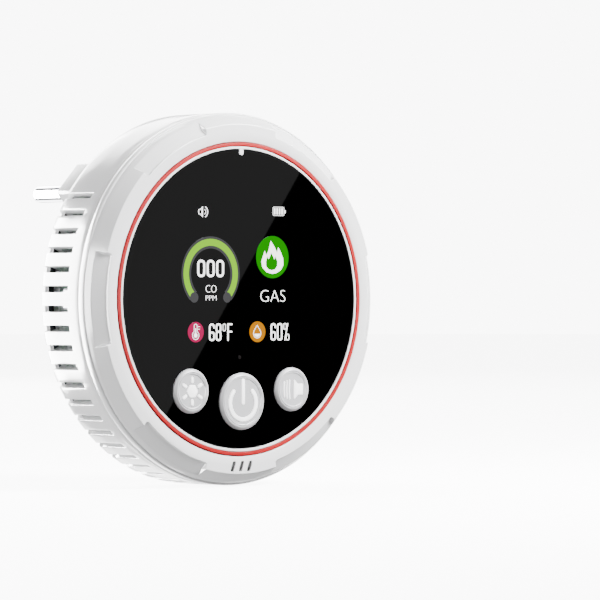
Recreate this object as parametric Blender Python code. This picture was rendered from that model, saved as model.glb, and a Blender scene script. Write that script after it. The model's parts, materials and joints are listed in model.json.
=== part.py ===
"""Plug-in carbon monoxide and gas alarm: a round body 86 mm across on a turning two-pin plug.

Every piece is modelled in a front view of its own: local x is to the right, local y is up, and
local z points out of the front glass. A depth is measured backwards from the front face, so it is
a negative local z. Lengths are in millimetres until MM turns them into metres.
The world origin is the middle of the plug's flat face, +Y points into the wall and +Z is up.
"""

import math

import bmesh
import bpy
from mathutils import Matrix

MM = 0.001
GAP = 0.3
CLEAR = 1.0  # how far a cutter runs past the face that it opens

# Body
BODY_R = 43.0
WALL = 1.8
INNER_R = BODY_R - WALL
BACK_D = 24.3
PARTING_D = 18.3
HOUSING_FRONT_D = 5.8
FLOOR_D = BACK_D - WALL

# Front glass and the rings round it
LENS_R = 34.2
LENS_BACK_D = 1.8
TRIM_IN_R = 34.5
TRIM_OUT_R = 35.1
ACCENT_IN_R = 35.25
ACCENT_OUT_R = 36.0
BEZEL_IN_R = 36.15
LEDGE_R = 33.0
LEDGE_D = 2.1
LEDGE_BACK_D = 3.6
BEZEL_BACK_D = 5.4
SPIGOT_R = 40.9
SPIGOT_END_D = 7.4
TAB_WIDTH = 1.25
TAB_R = 33.1

# Notches and slots of the bezel
NOTCHES = 6
NOTCH_SPAN = 30.0
NOTCH_FLOOR = ((38.65, 0.6), (44.0, 4.15))
FACE_SLOT_PITCH = 2.45
FACE_SLOT_UP = -38.45
FACE_SLOT_SIZE = (0.8, 2.2)

# Air vents
VENTS = 42
VENT_PITCH = 6.0
VENT_WIDTH = 1.4
VENT_START_D = 9.8
VENT_END_D = 20.6
PERFORATIONS = ((33.6, 1.4), (30.8, 1.1), (28.6, 0.8))

# Front buttons: name, x, up, radius
BUTTONS = (
    ("brightness_button", -15.0, -21.0, 5.1),
    ("power_button", 0.0, -23.55, 6.57),
    ("volume_button", 15.0, -21.0, 5.1),
)
BUTTON_PROUD = 0.7
BUTTON_PLAY = 0.25
BUTTON_FLANGE = 0.7
STEM_R = 1.5
STEM_END_D = 5.5
SWITCH_TOP_D = 6.3

# Boards
MAIN_BOARD_D = (9.9, 11.4)
MAIN_BOARD_R = 38.4
MAIN_FRONT_D = MAIN_BOARD_D[0] - GAP
MAIN_REAR_D = MAIN_BOARD_D[1] + GAP
POST_R = 36.4
POST_TOP_D = 7.7
POST_ANGLES = (60.0, 120.0, 270.0)
POWER_BOARD_D = (14.5, 15.9)
POWER_BOARD_SIZE = (34.0, 28.0)
POWER_REAR_D = POWER_BOARD_D[1] + GAP
POWER_POSTS = ((-14.0, 30.5), (14.0, 30.5))
SCREW_R = 0.8
SCREW_HEAD = 1.2
PILOT_R = 1.1

# Sensors on the main board
CO_SENSOR_AT = (-22.5, -9.0)
GAS_SENSOR_AT = (22.5, -9.0)
LIGHT_SENSOR_AT = (0.0, -13.6)
CLIMATE_SENSOR_AT = (0.0, -30.5)

# Display module
PANEL_UP = 6.0
PANEL_SIDE = 36.0
PANEL_D = (2.7, 4.3)
TRAY_D = (4.6, 6.4)

# Sounder dome on the back
DOME_UP = -14.7
DOME_R = 12.8
DOME_TOP_D = 27.2
DOME_SLOT = (1.7, 4.1, 1.2)

# Plug boss, plug and pins
BOSS_UP = 19.5
BOSS_R = 19.5
POCKET_R = 18.0
BOSS_TOP_D = 33.0
BOSS_HOLE_R = 13.2
PLUG_UP = 25.2
PLUG_FACE_D = 47.5
PLUG_WIDTH = 35.3
PLUG_HEIGHT = 13.7
PLUG_FLAT = 22.7
PIN_SPACING = 18.6
PIN_SIDES = (("left", -PIN_SPACING / 2), ("right", PIN_SPACING / 2))
PIN_R = 2.0
PIN_LENGTH = 19.0
PIN_FOOT_D = 29.3
PLATE_D = (28.0, 29.0)

# Bayonet: the plug's skirt and lugs turn behind the keepers of the boss
DISC_R = 16.0
DISC_BACK_D = 31.0
SKIRT_R = (14.6, 16.2)
SKIRT_END_D = 27.5
LUG_R = 17.6
LUG_TOP_D = 29.0
LUG_ANGLES = (30.0, 150.0, 270.0)
LUG_SPAN = 30.0
KEEPER_R = 16.6
KEEPER_D = (29.4, 30.6)
KEEPER_SPAN = 50.0
OPEN_TURN = 45.0

# Release button beside the boss
RELEASE_AT = (12.2, 1.0)
RELEASE_R = 3.6
BOSS_FOOT_R = 20.4
FLANGE_D = 20.9
FINGER_R = 15.4
FINGER_SIDE = 1.4

# Sides of the round pieces
BIG_ROUND = 60
MID_ROUND = 44
BUTTON_ROUND = 28
SENSOR_ROUND = 24
SMALL_ROUND = 16

WHITE = (0.88, 0.88, 0.88)
RED = (0.6, 0.02, 0.03)
SILVER = (0.7, 0.7, 0.71)
AMBER = (0.7, 0.35, 0.08)
METAL = (0.78, 0.78, 0.8)
BRASS = (0.78, 0.6, 0.3)
YELLOW = (0.6, 0.5, 0.1)
NAVY = (0.05, 0.07, 0.2)
BOARD_GREEN = (0.03, 0.2, 0.09)
BLACK = (0.02, 0.02, 0.022)


# Shapes: each returns a bmesh with its faces pointing out.


def tidied(bm):
    bmesh.ops.remove_doubles(bm, verts=bm.verts, dist=1e-7)
    bmesh.ops.recalc_face_normals(bm, faces=bm.faces)
    return bm


def section(bm, profile):
    """The vertices and edges of a (radius, depth) outline, without an edge along the axis."""
    points = [bm.verts.new((r * MM, 0.0, -d * MM)) for r, d in profile]
    pairs = zip(points, points[1:] + points[:1])
    edges = [bm.edges.new(pair) for pair in pairs if max(v.co.x for v in pair) > 0.0]
    return points + edges


def turned(profile, segments=BIG_ROUND):
    """The (radius, depth) outline turned all the way round the local z axis."""
    bm = bmesh.new()
    geom = section(bm, profile)
    bmesh.ops.spin(
        bm, geom=geom, axis=(0, 0, 1), cent=(0, 0, 0), angle=math.tau, steps=segments, use_merge=True
    )
    return tidied(bm)


def sector(profile, middle, span, steps=6):
    """The same outline turned through span degrees about the direction middle, with flat ends."""
    bm = bmesh.new()
    geom = section(bm, profile)
    bmesh.ops.spin(
        bm, geom=geom, axis=(0, 0, 1), cent=(0, 0, 0), angle=math.radians(span), steps=steps
    )
    bmesh.ops.holes_fill(bm, edges=[e for e in bm.edges if e.is_boundary], sides=0)
    return spun(tidied(bm), middle - span / 2)


def slab(outline, front, back):
    """An (x, up) outline extruded from one depth to another."""
    bm = bmesh.new()
    face = bm.faces.new([bm.verts.new((x * MM, y * MM, -front * MM)) for x, y in outline])
    grown = bmesh.ops.extrude_face_region(bm, geom=[face])["geom"]
    ends = [v for v in grown if isinstance(v, bmesh.types.BMVert)]
    bmesh.ops.translate(bm, verts=ends, vec=(0, 0, (front - back) * MM))
    return tidied(bm)


def box(x, up, front, back, at=(0.0, 0.0)):
    """A block of width x and height up about a point of the front view."""
    cx, cy = at
    corners = [(-1, -1), (1, -1), (1, 1), (-1, 1)]
    return slab([(cx + sx * x / 2, cy + sy * up / 2) for sx, sy in corners], front, back)


def drum(radius, front, back, segments=SMALL_ROUND, at=(0.0, 0.0)):
    return slab(circle(radius, segments, at), front, back)


def strip(path, thickness, width):
    """A bent strip: path holds (up, depth) points, and the strip is width wide along x."""
    count = len(path)
    left, right = [], []
    for i, (u, d) in enumerate(path):
        ahead = path[min(i + 1, count - 1)]
        behind = path[max(i - 1, 0)]
        du, dd = ahead[0] - behind[0], ahead[1] - behind[1]
        length = math.hypot(du, dd)
        side = (-dd / length * thickness / 2, du / length * thickness / 2)
        left.append((u + side[0], d + side[1]))
        right.append((u - side[0], d - side[1]))
    outline = left + right[::-1]
    bm = bmesh.new()
    face = bm.faces.new([bm.verts.new((-width / 2 * MM, u * MM, -d * MM)) for u, d in outline])
    grown = bmesh.ops.extrude_face_region(bm, geom=[face])["geom"]
    ends = [v for v in grown if isinstance(v, bmesh.types.BMVert)]
    bmesh.ops.translate(bm, verts=ends, vec=(width * MM, 0, 0))
    return tidied(bm)


def circle(radius, segments, at=(0.0, 0.0)):
    turns = [math.tau * i / segments for i in range(segments)]
    return [(at[0] + radius * math.cos(t), at[1] + radius * math.sin(t)) for t in turns]


def polar(radius, angle):
    return radius * math.cos(math.radians(angle)), radius * math.sin(math.radians(angle))


def ring_section(inner, outer, front, back):
    """The (radius, depth) outline of a plain ring."""
    return [(inner, front), (outer, front), (outer, back), (inner, back)]


def spun(bm, angle):
    turn = Matrix.Rotation(math.radians(angle), 3, "Z")
    bmesh.ops.rotate(bm, verts=bm.verts, cent=(0, 0, 0), matrix=turn)
    return bm


def shifted(bm, at):
    bmesh.ops.translate(bm, verts=bm.verts, vec=(at[0] * MM, at[1] * MM, 0))
    return bm


# Objects


def clear_scene():
    for obj in list(bpy.data.objects):
        bpy.data.objects.remove(obj, do_unlink=True)


def axis_empty(name):
    """An empty on the axis that the body and the plug turn about, set to the front view's axes."""
    empty = bpy.data.objects.new(name, None)
    empty.location = (0.0, -PLUG_FACE_D * MM, (BOSS_UP - PLUG_UP) * MM)
    empty.rotation_euler = (math.pi / 2, 0, 0)
    bpy.context.scene.collection.objects.link(empty)
    return empty


def mesh_object(name, shapes):
    whole = bmesh.new()
    for shape in shapes:
        mesh = bpy.data.meshes.new(name + "_shape")
        shape.to_mesh(mesh)
        shape.free()
        whole.from_mesh(mesh)
        bpy.data.meshes.remove(mesh)
    mesh = bpy.data.meshes.new(name)
    whole.to_mesh(mesh)
    whole.free()
    obj = bpy.data.objects.new(name, mesh)
    bpy.context.scene.collection.objects.link(obj)
    return obj


def finish(obj, colour, roughness, metallic=0.0):
    material = bpy.data.materials.new(obj.name + "_finish")
    material.use_nodes = True
    shader = material.node_tree.nodes["Principled BSDF"]
    shader.inputs["Base Color"].default_value = (*colour, 1.0)
    shader.inputs["Roughness"].default_value = roughness
    shader.inputs["Metallic"].default_value = metallic
    obj.data.materials.append(material)


def piece(name, shape, parent, colour, roughness, metallic=0.0, at=(0.0, 0.0)):
    """A named sub-part whose own origin is the point at of the front view, from the body's middle."""
    obj = mesh_object(name, [shape])
    obj.data.shade_smooth()
    obj.data.set_sharp_from_angle(angle=math.radians(30))
    obj.parent = parent
    obj.location = (at[0] * MM, (at[1] - BOSS_UP) * MM, 0)
    finish(obj, colour, roughness, metallic)
    return obj


def combine(obj, shapes, operation):
    """Joins the shapes to obj, or cuts them from it, with one Boolean."""
    helper = mesh_object(f"{obj.name}_{operation.lower()}_{len(obj.modifiers)}", shapes)
    helper.parent = obj
    helper.hide_render = True
    helper.display_type = "WIRE"
    modifier = obj.modifiers.new(operation.title(), "BOOLEAN")
    modifier.operation = operation
    modifier.solver = "EXACT"
    modifier.object = helper


def join(obj, shapes):
    combine(obj, shapes, "UNION")


def cut(obj, shapes):
    combine(obj, shapes, "DIFFERENCE")


def bevel(obj, width, segments=1):
    modifier = obj.modifiers.new("Bevel", "BEVEL")
    modifier.width = width * MM
    modifier.segments = segments
    modifier.limit_method = "ANGLE"
    modifier.angle_limit = math.radians(40)


# Front of the body


def vent_angles():
    """The directions of the side vents, in pairs either side of straight down."""
    steps = range(VENTS // 2)
    return [270.0 + side * (i + 0.5) * VENT_PITCH for i in steps for side in (-1, 1)]


def vent_cutter(angle, front, back):
    """A block across the side wall, one vent wide, at the direction angle."""
    return spun(box(8.0, VENT_WIDTH, front, back, (INNER_R + 1.0, 0.0)), angle)


def bezel_ring(body):
    shell = turned(
        [
            (BEZEL_IN_R, 0.0),
            (39.6, 0.0),
            (40.5, 0.7),
            (42.5, 3.7),
            (BODY_R, 4.7),
            (BODY_R, BEZEL_BACK_D),
            (SPIGOT_R, BEZEL_BACK_D),
            (SPIGOT_R, SPIGOT_END_D),
            (SPIGOT_R - 1.3, SPIGOT_END_D),
            (SPIGOT_R - 1.3, LEDGE_BACK_D),
            (LEDGE_R, LEDGE_BACK_D),
            (LEDGE_R, LEDGE_D),
            (BEZEL_IN_R, LEDGE_D),
        ]
    )
    ring = piece("bezel_ring", shell, body, WHITE, 0.22)
    (inner_r, inner_d), (outer_r, outer_d) = NOTCH_FLOOR
    notch = [(inner_r, -CLEAR), (outer_r, -CLEAR), (outer_r, outer_d), (inner_r, inner_d)]
    width, height = FACE_SLOT_SIZE
    slots = [
        box(width, height, -CLEAR, LEDGE_BACK_D + CLEAR, (i * FACE_SLOT_PITCH, FACE_SLOT_UP))
        for i in (-1, 0, 1)
    ]
    notches = [sector(notch, i * 360.0 / NOTCHES, NOTCH_SPAN) for i in range(NOTCHES)]
    cut(ring, notches + slots)


def accent_ring(body):
    profile = [(ACCENT_OUT_R, 0.0), (ACCENT_OUT_R, 1.15), (ACCENT_IN_R, 1.15), (ACCENT_IN_R, 0.0)]
    piece("accent_ring", turned(profile), body, RED, 0.35)


def trim_ring(body):
    """The white ring round the glass, with its pointer at twelve o'clock."""
    profile = [
        (TRIM_OUT_R, 0.0),
        (TRIM_OUT_R, 1.3),
        (ACCENT_OUT_R, 1.3),
        (ACCENT_OUT_R, LEDGE_D - 0.15),
        (TRIM_IN_R, LEDGE_D - 0.15),
        (TRIM_IN_R, 0.0),
    ]
    ring = piece("trim_ring", turned(profile), body, WHITE, 0.25)
    half = TAB_WIDTH / 2
    tip = [polar(half, 180 + 30 * i) for i in range(7)]
    outline = [(x, y + TAB_R + half) for x, y in tip] + [(half, 34.8), (-half, 34.8)]
    join(ring, [slab(outline, 0.05, 1.2)])


def display_lens(body):
    lens = piece("display_lens", drum(LENS_R, 0.1, LENS_BACK_D, BIG_ROUND), body, BLACK, 0.05)
    back = LENS_BACK_D + CLEAR
    holes = [
        drum(radius + BUTTON_PLAY, -CLEAR, back, BUTTON_ROUND, (x, up))
        for _, x, up, radius in BUTTONS
    ]
    tab_room = box(TAB_WIDTH + 2 * BUTTON_PLAY, 4.0, -CLEAR, back, (0.0, TAB_R + 1.75))
    cut(lens, holes + [tab_room])


def front_buttons(body):
    for name, x, up, radius in BUTTONS:
        profile = [
            (0.0, -BUTTON_PROUD),
            (radius - 0.7, -BUTTON_PROUD),
            (radius, -0.1),
            (radius, LEDGE_D),
            (radius + 1.0, LEDGE_D),
            (radius + 1.0, LEDGE_D + BUTTON_FLANGE),
            (STEM_R, LEDGE_D + BUTTON_FLANGE),
            (STEM_R, STEM_END_D),
            (0.0, STEM_END_D),
        ]
        piece(name, turned(profile, BUTTON_ROUND), body, SILVER, 0.35, 0.3, (x, up))


def tact_switches(body):
    side = 6.0
    for button, x, up, _ in BUTTONS:
        name = button.replace("button", "switch")
        case = box(side, side, SWITCH_TOP_D + 0.8, MAIN_FRONT_D)
        switch = piece(name, case, body, BLACK, 0.5, at=(x, up))
        join(switch, [drum(1.75, SWITCH_TOP_D, SWITCH_TOP_D + 1.2, 12)])


def lcd_panel(body):
    panel = box(PANEL_SIDE, PANEL_SIDE, *PANEL_D)
    piece("lcd_panel", panel, body, BLACK, 0.15, at=(0.0, PANEL_UP))


def lcd_frame(body):
    """The backlight tray behind the panel, on four legs that stand on the main board."""
    side = PANEL_SIDE + 2.0
    tray = piece("lcd_frame", box(side, side, *TRAY_D), body, METAL, 0.35, 1.0, (0.0, PANEL_UP))
    leg = 2.0
    reach = (side - leg) / 2 - 0.5
    legs = [
        box(leg, leg, 6.0, MAIN_FRONT_D, (sx * reach, sy * reach))
        for sx in (-1, 1)
        for sy in (-1, 1)
    ]
    join(tray, legs)


def lcd_flex_cable(body):
    """A ribbon that leaves the panel's lower edge and bends back to the main board."""
    path = [
        (0.0, 3.5),
        (-1.2, 3.8),
        (-2.0, 5.0),
        (-2.0, 7.6),
        (-1.2, 8.9),
        (0.8, 9.25),
        (2.8, 9.3),
    ]
    thickness, width = 0.25, 10.0
    at = (9.0, PANEL_UP - PANEL_SIDE / 2 - GAP)
    piece("lcd_flex_cable", strip(path, thickness, width), body, AMBER, 0.45, at=at)


# Body shell


def front_housing(body):
    tube = turned(
        [
            (42.2, HOUSING_FRONT_D),
            (42.75, 6.15),
            (BODY_R, 6.9),
            (BODY_R, PARTING_D - GAP / 2),
            (INNER_R, PARTING_D - GAP / 2),
            (INNER_R, HOUSING_FRONT_D),
        ]
    )
    housing = piece("front_housing", tube, body, WHITE, 0.22)
    rib_width = 1.6
    rib_end = INNER_R + 0.7
    pilots = []
    for angle in POST_ANGLES:
        at = polar(POST_R, angle)
        middle = ((POST_R + rib_end) / 2, 0.0)
        rib = box(rib_end - POST_R, rib_width, POST_TOP_D, MAIN_FRONT_D, middle)
        join(housing, [spun(rib, angle)])
        join(housing, [drum(2.6, POST_TOP_D, MAIN_FRONT_D, SMALL_ROUND, at)])
        pilots.append(drum(PILOT_R, POST_TOP_D - CLEAR, MAIN_FRONT_D + CLEAR, 10, at))
    vents = [vent_cutter(angle, VENT_START_D, PARTING_D + 2 * CLEAR) for angle in vent_angles()]
    cut(housing, vents + pilots)


def stadium(start, end, width, angle):
    """The outline of a round-ended slot along the direction angle, from one radius to another."""
    half = width / 2
    far = [(end - half + x, y) for x, y in (polar(half, -90 + 45 * i) for i in range(5))]
    near = [(start + half + x, y) for x, y in (polar(half, 90 + 45 * i) for i in range(5))]
    c, s = math.cos(math.radians(angle)), math.sin(math.radians(angle))
    return [(c * x - s * y, s * x + c * y) for x, y in far + near]


def beside_boss(radius, keep_out):
    """A circle round the release button, flattened where the boss wall cuts into it."""
    outline = []
    for x, y in circle(radius, 24):
        dx, dy = RELEASE_AT[0] + x, RELEASE_AT[1] + y - BOSS_UP
        away = max(1.0, keep_out / math.hypot(dx, dy))
        outline.append((dx * away - RELEASE_AT[0], dy * away + BOSS_UP - RELEASE_AT[1]))
    return outline


def finger_place():
    """Where the latch finger stands: from the boss's middle towards the release button."""
    dx, dy = RELEASE_AT[0], RELEASE_AT[1] - BOSS_UP
    angle = math.degrees(math.atan2(dy, dx))
    x, y = polar(FINGER_R, angle)
    return (x, y + BOSS_UP), angle


def rear_cover(body):
    outside = turned(
        [
            (0.0, PARTING_D + GAP / 2),
            (BODY_R, PARTING_D + GAP / 2),
            (BODY_R, 18.8),
            (42.7, 19.3),
            (36.4, 23.9),
            (35.6, BACK_D),
            (0.0, BACK_D),
        ]
    )
    cover = piece("rear_cover", outside, body, WHITE, 0.25)
    boss = turned(
        [
            (0.0, 21.3),
            (BOSS_FOOT_R, 21.3),
            (BOSS_FOOT_R, BACK_D),
            (BOSS_R + 0.25, 26.4),
            (BOSS_R, 29.5),
            (BOSS_R, BOSS_TOP_D - 0.3),
            (BOSS_R - 0.3, BOSS_TOP_D),
            (0.0, BOSS_TOP_D),
        ],
        MID_ROUND,
    )
    dome = turned(
        [
            (0.0, 23.5),
            (DOME_R, 23.5),
            (DOME_R, 24.6),
            (11.4, 25.3),
            (9.9, 26.3),
            (8.6, 26.9),
            (7.2, DOME_TOP_D),
            (0.0, DOME_TOP_D),
        ],
        MID_ROUND,
    )
    join(cover, [shifted(boss, (0, BOSS_UP))])
    join(cover, [shifted(dome, (0, DOME_UP))])
    inside = turned([(0.0, 16.0), (INNER_R, 16.0), (INNER_R, 18.1), (34.9, FLOOR_D), (0.0, FLOOR_D)])
    pocket = drum(POCKET_R, BACK_D, BOSS_TOP_D + CLEAR, MID_ROUND, (0, BOSS_UP))
    cut(cover, [inside])
    cut(cover, [pocket])
    keeper = ring_section(KEEPER_R, POCKET_R + 0.5, *KEEPER_D)
    keepers = [sector(keeper, angle, KEEPER_SPAN) for angle in LUG_ANGLES]
    join(cover, [shifted(shape, (0, BOSS_UP)) for shape in keepers])
    join(cover, [drum(2.4, POWER_REAR_D, FLOOR_D + 0.6, 14, at) for at in POWER_POSTS])
    cut(cover, rear_cover_holes())


def rear_cover_holes():
    """Everything that opens the cover: the plug's way in, the sounder's slots, the vents and so on."""
    above, below = 20.0, 26.0
    crown_above, crown_below = 25.0, 29.0
    finger_at, finger_angle = finger_place()
    slot_side = FINGER_SIDE + 1.0
    finger_slot = spun(box(slot_side, slot_side, above, below), finger_angle)
    release_hole = slab(beside_boss(RELEASE_R + 0.35, BOSS_FOOT_R + 0.1), above, below)
    holes = [
        drum(BOSS_HOLE_R, above, below, 32, (0, BOSS_UP)),
        drum(11.0, above, 24.4, 28, (0, DOME_UP)),
        drum(8.0, 24.0, 25.6, 24, (0, DOME_UP)),
        drum(0.65, crown_above, crown_below, 6, (0, DOME_UP)),
        shifted(release_hole, RELEASE_AT),
        shifted(finger_slot, finger_at),
    ]
    for angle in (45, 135, 225, 315):
        sounder_slot = slab(stadium(*DOME_SLOT, angle), crown_above, crown_below)
        holes.append(shifted(sounder_slot, (0, DOME_UP)))
    for at in POWER_POSTS:
        holes.append(drum(PILOT_R, POWER_REAR_D - CLEAR, 20.0, 8, at))
    for angle in vent_angles():
        holes.append(vent_cutter(angle, 16.0, VENT_END_D))
        for ring_r, width in PERFORATIONS:
            holes.append(drum(width / 2, FLOOR_D - CLEAR, below, 4, polar(ring_r, angle)))
    return holes


# Boards and what they carry


def cross_recess(arm, slot, front, back):
    """A cross of the given arm length and slot width, from one depth to another."""
    a, s = arm / 2, slot / 2
    corner = [(a, -s), (a, s), (s, s)]
    outline = []
    for quarter in range(4):
        turn = math.radians(90 * quarter)
        c, n = round(math.cos(turn)), round(math.sin(turn))
        outline += [(c * x - n * y, n * x + c * y) for x, y in corner]
    return slab(outline, front, back)


def screw(name, body, at, head, tip):
    """A cross-head screw: head holds its outer and inner depths, and its shank runs on to tip."""
    outer, inner = head
    head_r = 2.0
    profile = [
        (0.0, outer),
        (head_r, outer),
        (head_r, inner),
        (SCREW_R, inner),
        (SCREW_R, tip),
        (0.0, tip),
    ]
    made = piece(name, turned(profile, 14), body, METAL, 0.3, 1.0, at)
    outward = 1.0 if outer > inner else -1.0
    recess = 0.5
    cut(made, [cross_recess(2.2, 0.6, *sorted((outer + CLEAR * outward, outer - recess * outward)))])


def main_board(body):
    front, back = MAIN_BOARD_D
    board = piece("main_board", drum(MAIN_BOARD_R, front, back, BIG_ROUND), body, BOARD_GREEN, 0.45)
    places = [polar(POST_R, angle) for angle in POST_ANGLES]
    cut(board, [drum(PILOT_R, front - CLEAR, back + CLEAR, 10, at) for at in places])
    head = (MAIN_REAR_D + SCREW_HEAD, MAIN_REAR_D)
    for i, at in enumerate(places, 1):
        screw(f"board_screw_{i}", body, at, head, POST_TOP_D + GAP)


def main_board_parts(body):
    rear, front = MAIN_REAR_D, MAIN_FRONT_D
    piece("processor_chip", box(9.0, 9.0, rear, rear + 1.2), body, BLACK, 0.4, at=(-9.0, 17.0))
    piece("light_sensor", box(2.0, 2.0, front - 1.0, front), body, WHITE, 0.3, at=LIGHT_SENSOR_AT)
    case = box(4.0, 4.0, rear, rear + 1.8)
    climate = piece("temp_humidity_sensor", case, body, WHITE, 0.4, at=CLIMATE_SENSOR_AT)
    bevel(climate, 0.3)
    pouch = box(24.0, 20.0, rear + 0.2, rear + 5.0)
    battery = piece("backup_battery", pouch, body, METAL, 0.4, 0.6, (0.0, -14.0))
    bevel(battery, 1.2, 2)


def co_sensor(body):
    profile = [
        (0.0, 20.0),
        (2.2, 20.0),
        (2.2, 19.4),
        (5.6, 19.4),
        (6.2, 18.8),
        (6.2, 12.7),
        (6.8, 12.7),
        (6.8, MAIN_REAR_D),
        (0.0, MAIN_REAR_D),
    ]
    piece("co_sensor", turned(profile, SENSOR_ROUND), body, METAL, 0.3, 0.8, CO_SENSOR_AT)


def gas_sensor(body):
    """A socket on the board with the sensor's mesh can on it."""
    base_r, base_top, can_top = 8.4, 14.0, 20.4
    foot = base_top + GAP
    base = drum(base_r, MAIN_REAR_D, base_top, SENSOR_ROUND)
    can = [
        (0.0, foot),
        (7.2, foot),
        (7.2, 15.0),
        (6.2, 15.0),
        (6.2, 19.2),
        (5.0, can_top),
        (0.0, can_top),
    ]
    piece("gas_sensor_base", base, body, BLACK, 0.5, at=GAS_SENSOR_AT)
    piece("gas_sensor_cap", turned(can, SENSOR_ROUND), body, METAL, 0.35, 1.0, GAS_SENSOR_AT)


def sounder(body):
    """A round can whose sound hole opens towards the dome."""
    top, hole_r, hole_floor = 24.0, 1.4, 22.6
    profile = [
        (hole_r, top),
        (9.4, top),
        (10.2, 23.2),
        (10.2, 17.0),
        (0.0, 17.0),
        (0.0, hole_floor),
        (hole_r, hole_floor),
    ]
    piece("sounder", turned(profile, 32), body, BLACK, 0.5, at=(0.0, DOME_UP))


def power_board(body):
    front, back = POWER_BOARD_D
    plate = box(*POWER_BOARD_SIZE, front, back)
    board = piece("power_board", plate, body, BOARD_GREEN, 0.45, at=(0.0, BOSS_UP))
    holes = [(x, up - BOSS_UP) for x, up in POWER_POSTS]
    cut(board, [drum(PILOT_R, front - CLEAR, back + CLEAR, 10, at) for at in holes])
    head = (front - GAP - SCREW_HEAD, front - GAP)
    for i, at in enumerate(POWER_POSTS, 1):
        screw(f"power_board_screw_{i}", body, at, head, 19.0)


def power_board_parts(body):
    rear = POWER_REAR_D
    core = box(13.0, 12.0, rear + 0.8, 23.6)
    transformer = piece("transformer", core, body, YELLOW, 0.5, at=(0.0, BOSS_UP))
    join(transformer, [box(15.0, 4.0, rear, rear + 3.0)])
    bevel(transformer, 0.4)
    can_r, can_top, chamfer = 3.15, 22.0, 0.4
    can = [
        (0.0, rear),
        (can_r, rear),
        (can_r, can_top - chamfer),
        (can_r - chamfer, can_top),
        (0.0, can_top),
    ]
    for i, x in enumerate((-13.2, 13.2), 1):
        piece(f"capacitor_{i}", turned(can, SMALL_ROUND), body, NAVY, 0.35, at=(x, 13.0))
    piece("fuse", fuse_shape(5.0, 1.8, rear + 1.9), body, WHITE, 0.3, at=(0.0, 9.0))
    header = box(10.0, 3.0, MAIN_REAR_D, POWER_BOARD_D[0] - GAP)
    piece("board_header", header, body, BLACK, 0.5, at=(-9.0, 7.5))


def fuse_shape(half, radius, depth):
    """A cartridge lying along x, thicker at its two caps."""
    cap_end = half - 2.0
    glass_r = radius - 0.3
    bm = turned(
        [
            (0.0, -half),
            (radius, -half),
            (radius, -cap_end),
            (glass_r, -cap_end),
            (glass_r, cap_end),
            (radius, cap_end),
            (radius, half),
            (0.0, half),
        ],
        14,
    )
    bmesh.ops.rotate(bm, verts=bm.verts, cent=(0, 0, 0), matrix=Matrix.Rotation(math.pi / 2, 3, "Y"))
    bmesh.ops.translate(bm, verts=bm.verts, vec=(0, 0, -depth * MM))
    return bm


def contact_springs(body):
    """Bent brass strips that rise from the power board to the tails of the pins."""
    thickness, width = 0.5, 2.4
    foot = POWER_REAR_D + 0.3
    path = [
        (2.4, foot),
        (0.3, foot),
        (-0.4, foot + 0.7),
        (-0.4, 23.5),
        (0.2, 25.5),
        (0.9, 26.6),
        (1.8, 26.6),
    ]
    for side, x in PIN_SIDES:
        shape = strip(path, thickness, width)
        piece(f"contact_spring_{side}", shape, body, BRASS, 0.3, 1.0, (x, PLUG_UP - 0.9))


# Release button and its spring


def release_button(body):
    """The back button: a flange under the cover, and an arm whose finger reaches into the plug."""
    cap = slab(beside_boss(RELEASE_R, BOSS_FOOT_R + 0.4), 21.8, BACK_D + 0.9)
    button = piece("release_button", cap, body, WHITE, 0.25, 0.0, RELEASE_AT)
    finger_at, angle = finger_place()
    dx, dy = finger_at[0] - RELEASE_AT[0], finger_at[1] - RELEASE_AT[1]
    reach = math.hypot(dx, dy)
    half = FINGER_SIDE / 2
    flange_back = FLOOR_D - GAP
    arm_length = reach + half
    arm = box(arm_length, FINGER_SIDE, FLANGE_D, flange_back, (arm_length / 2, 0.0))
    finger = box(FINGER_SIDE, FINGER_SIDE, 21.5, SKIRT_END_D + 0.7, (reach, 0.0))
    join(button, [drum(RELEASE_R + 1.0, FLANGE_D, flange_back, 24)])
    join(button, [spun(arm, angle + 180)])
    join(button, [spun(finger, angle + 180)])
    join(button, [drum(1.3, 17.0, 21.4, 12)])


def release_spring(body):
    turns, around = 4, 10
    radius, wire = 2.3, 0.3
    start, end = MAIN_REAR_D + wire, FLANGE_D - GAP - wire
    curve = bpy.data.curves.new("release_spring", "CURVE")
    curve.dimensions = "3D"
    curve.bevel_depth = wire * MM
    curve.bevel_resolution = 0
    curve.use_fill_caps = True
    spline = curve.splines.new("POLY")
    count = turns * around
    spline.points.add(count)
    for i, point in enumerate(spline.points):
        angle = math.tau * i / around
        depth = start + (end - start) * i / count
        point.co = (radius * math.cos(angle) * MM, radius * math.sin(angle) * MM, -depth * MM, 1.0)
    obj = bpy.data.objects.new("release_spring", curve)
    bpy.context.scene.collection.objects.link(obj)
    obj.parent = body
    obj.location = (RELEASE_AT[0] * MM, (RELEASE_AT[1] - BOSS_UP) * MM, 0)
    finish(obj, METAL, 0.3, 1.0)


# Plug module


def plug_outline(width, height, flat):
    return [
        (-width / 2, 0.0),
        (-flat / 2, -height / 2),
        (flat / 2, -height / 2),
        (width / 2, 0.0),
        (flat / 2, height / 2),
        (-flat / 2, height / 2),
    ]


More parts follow.
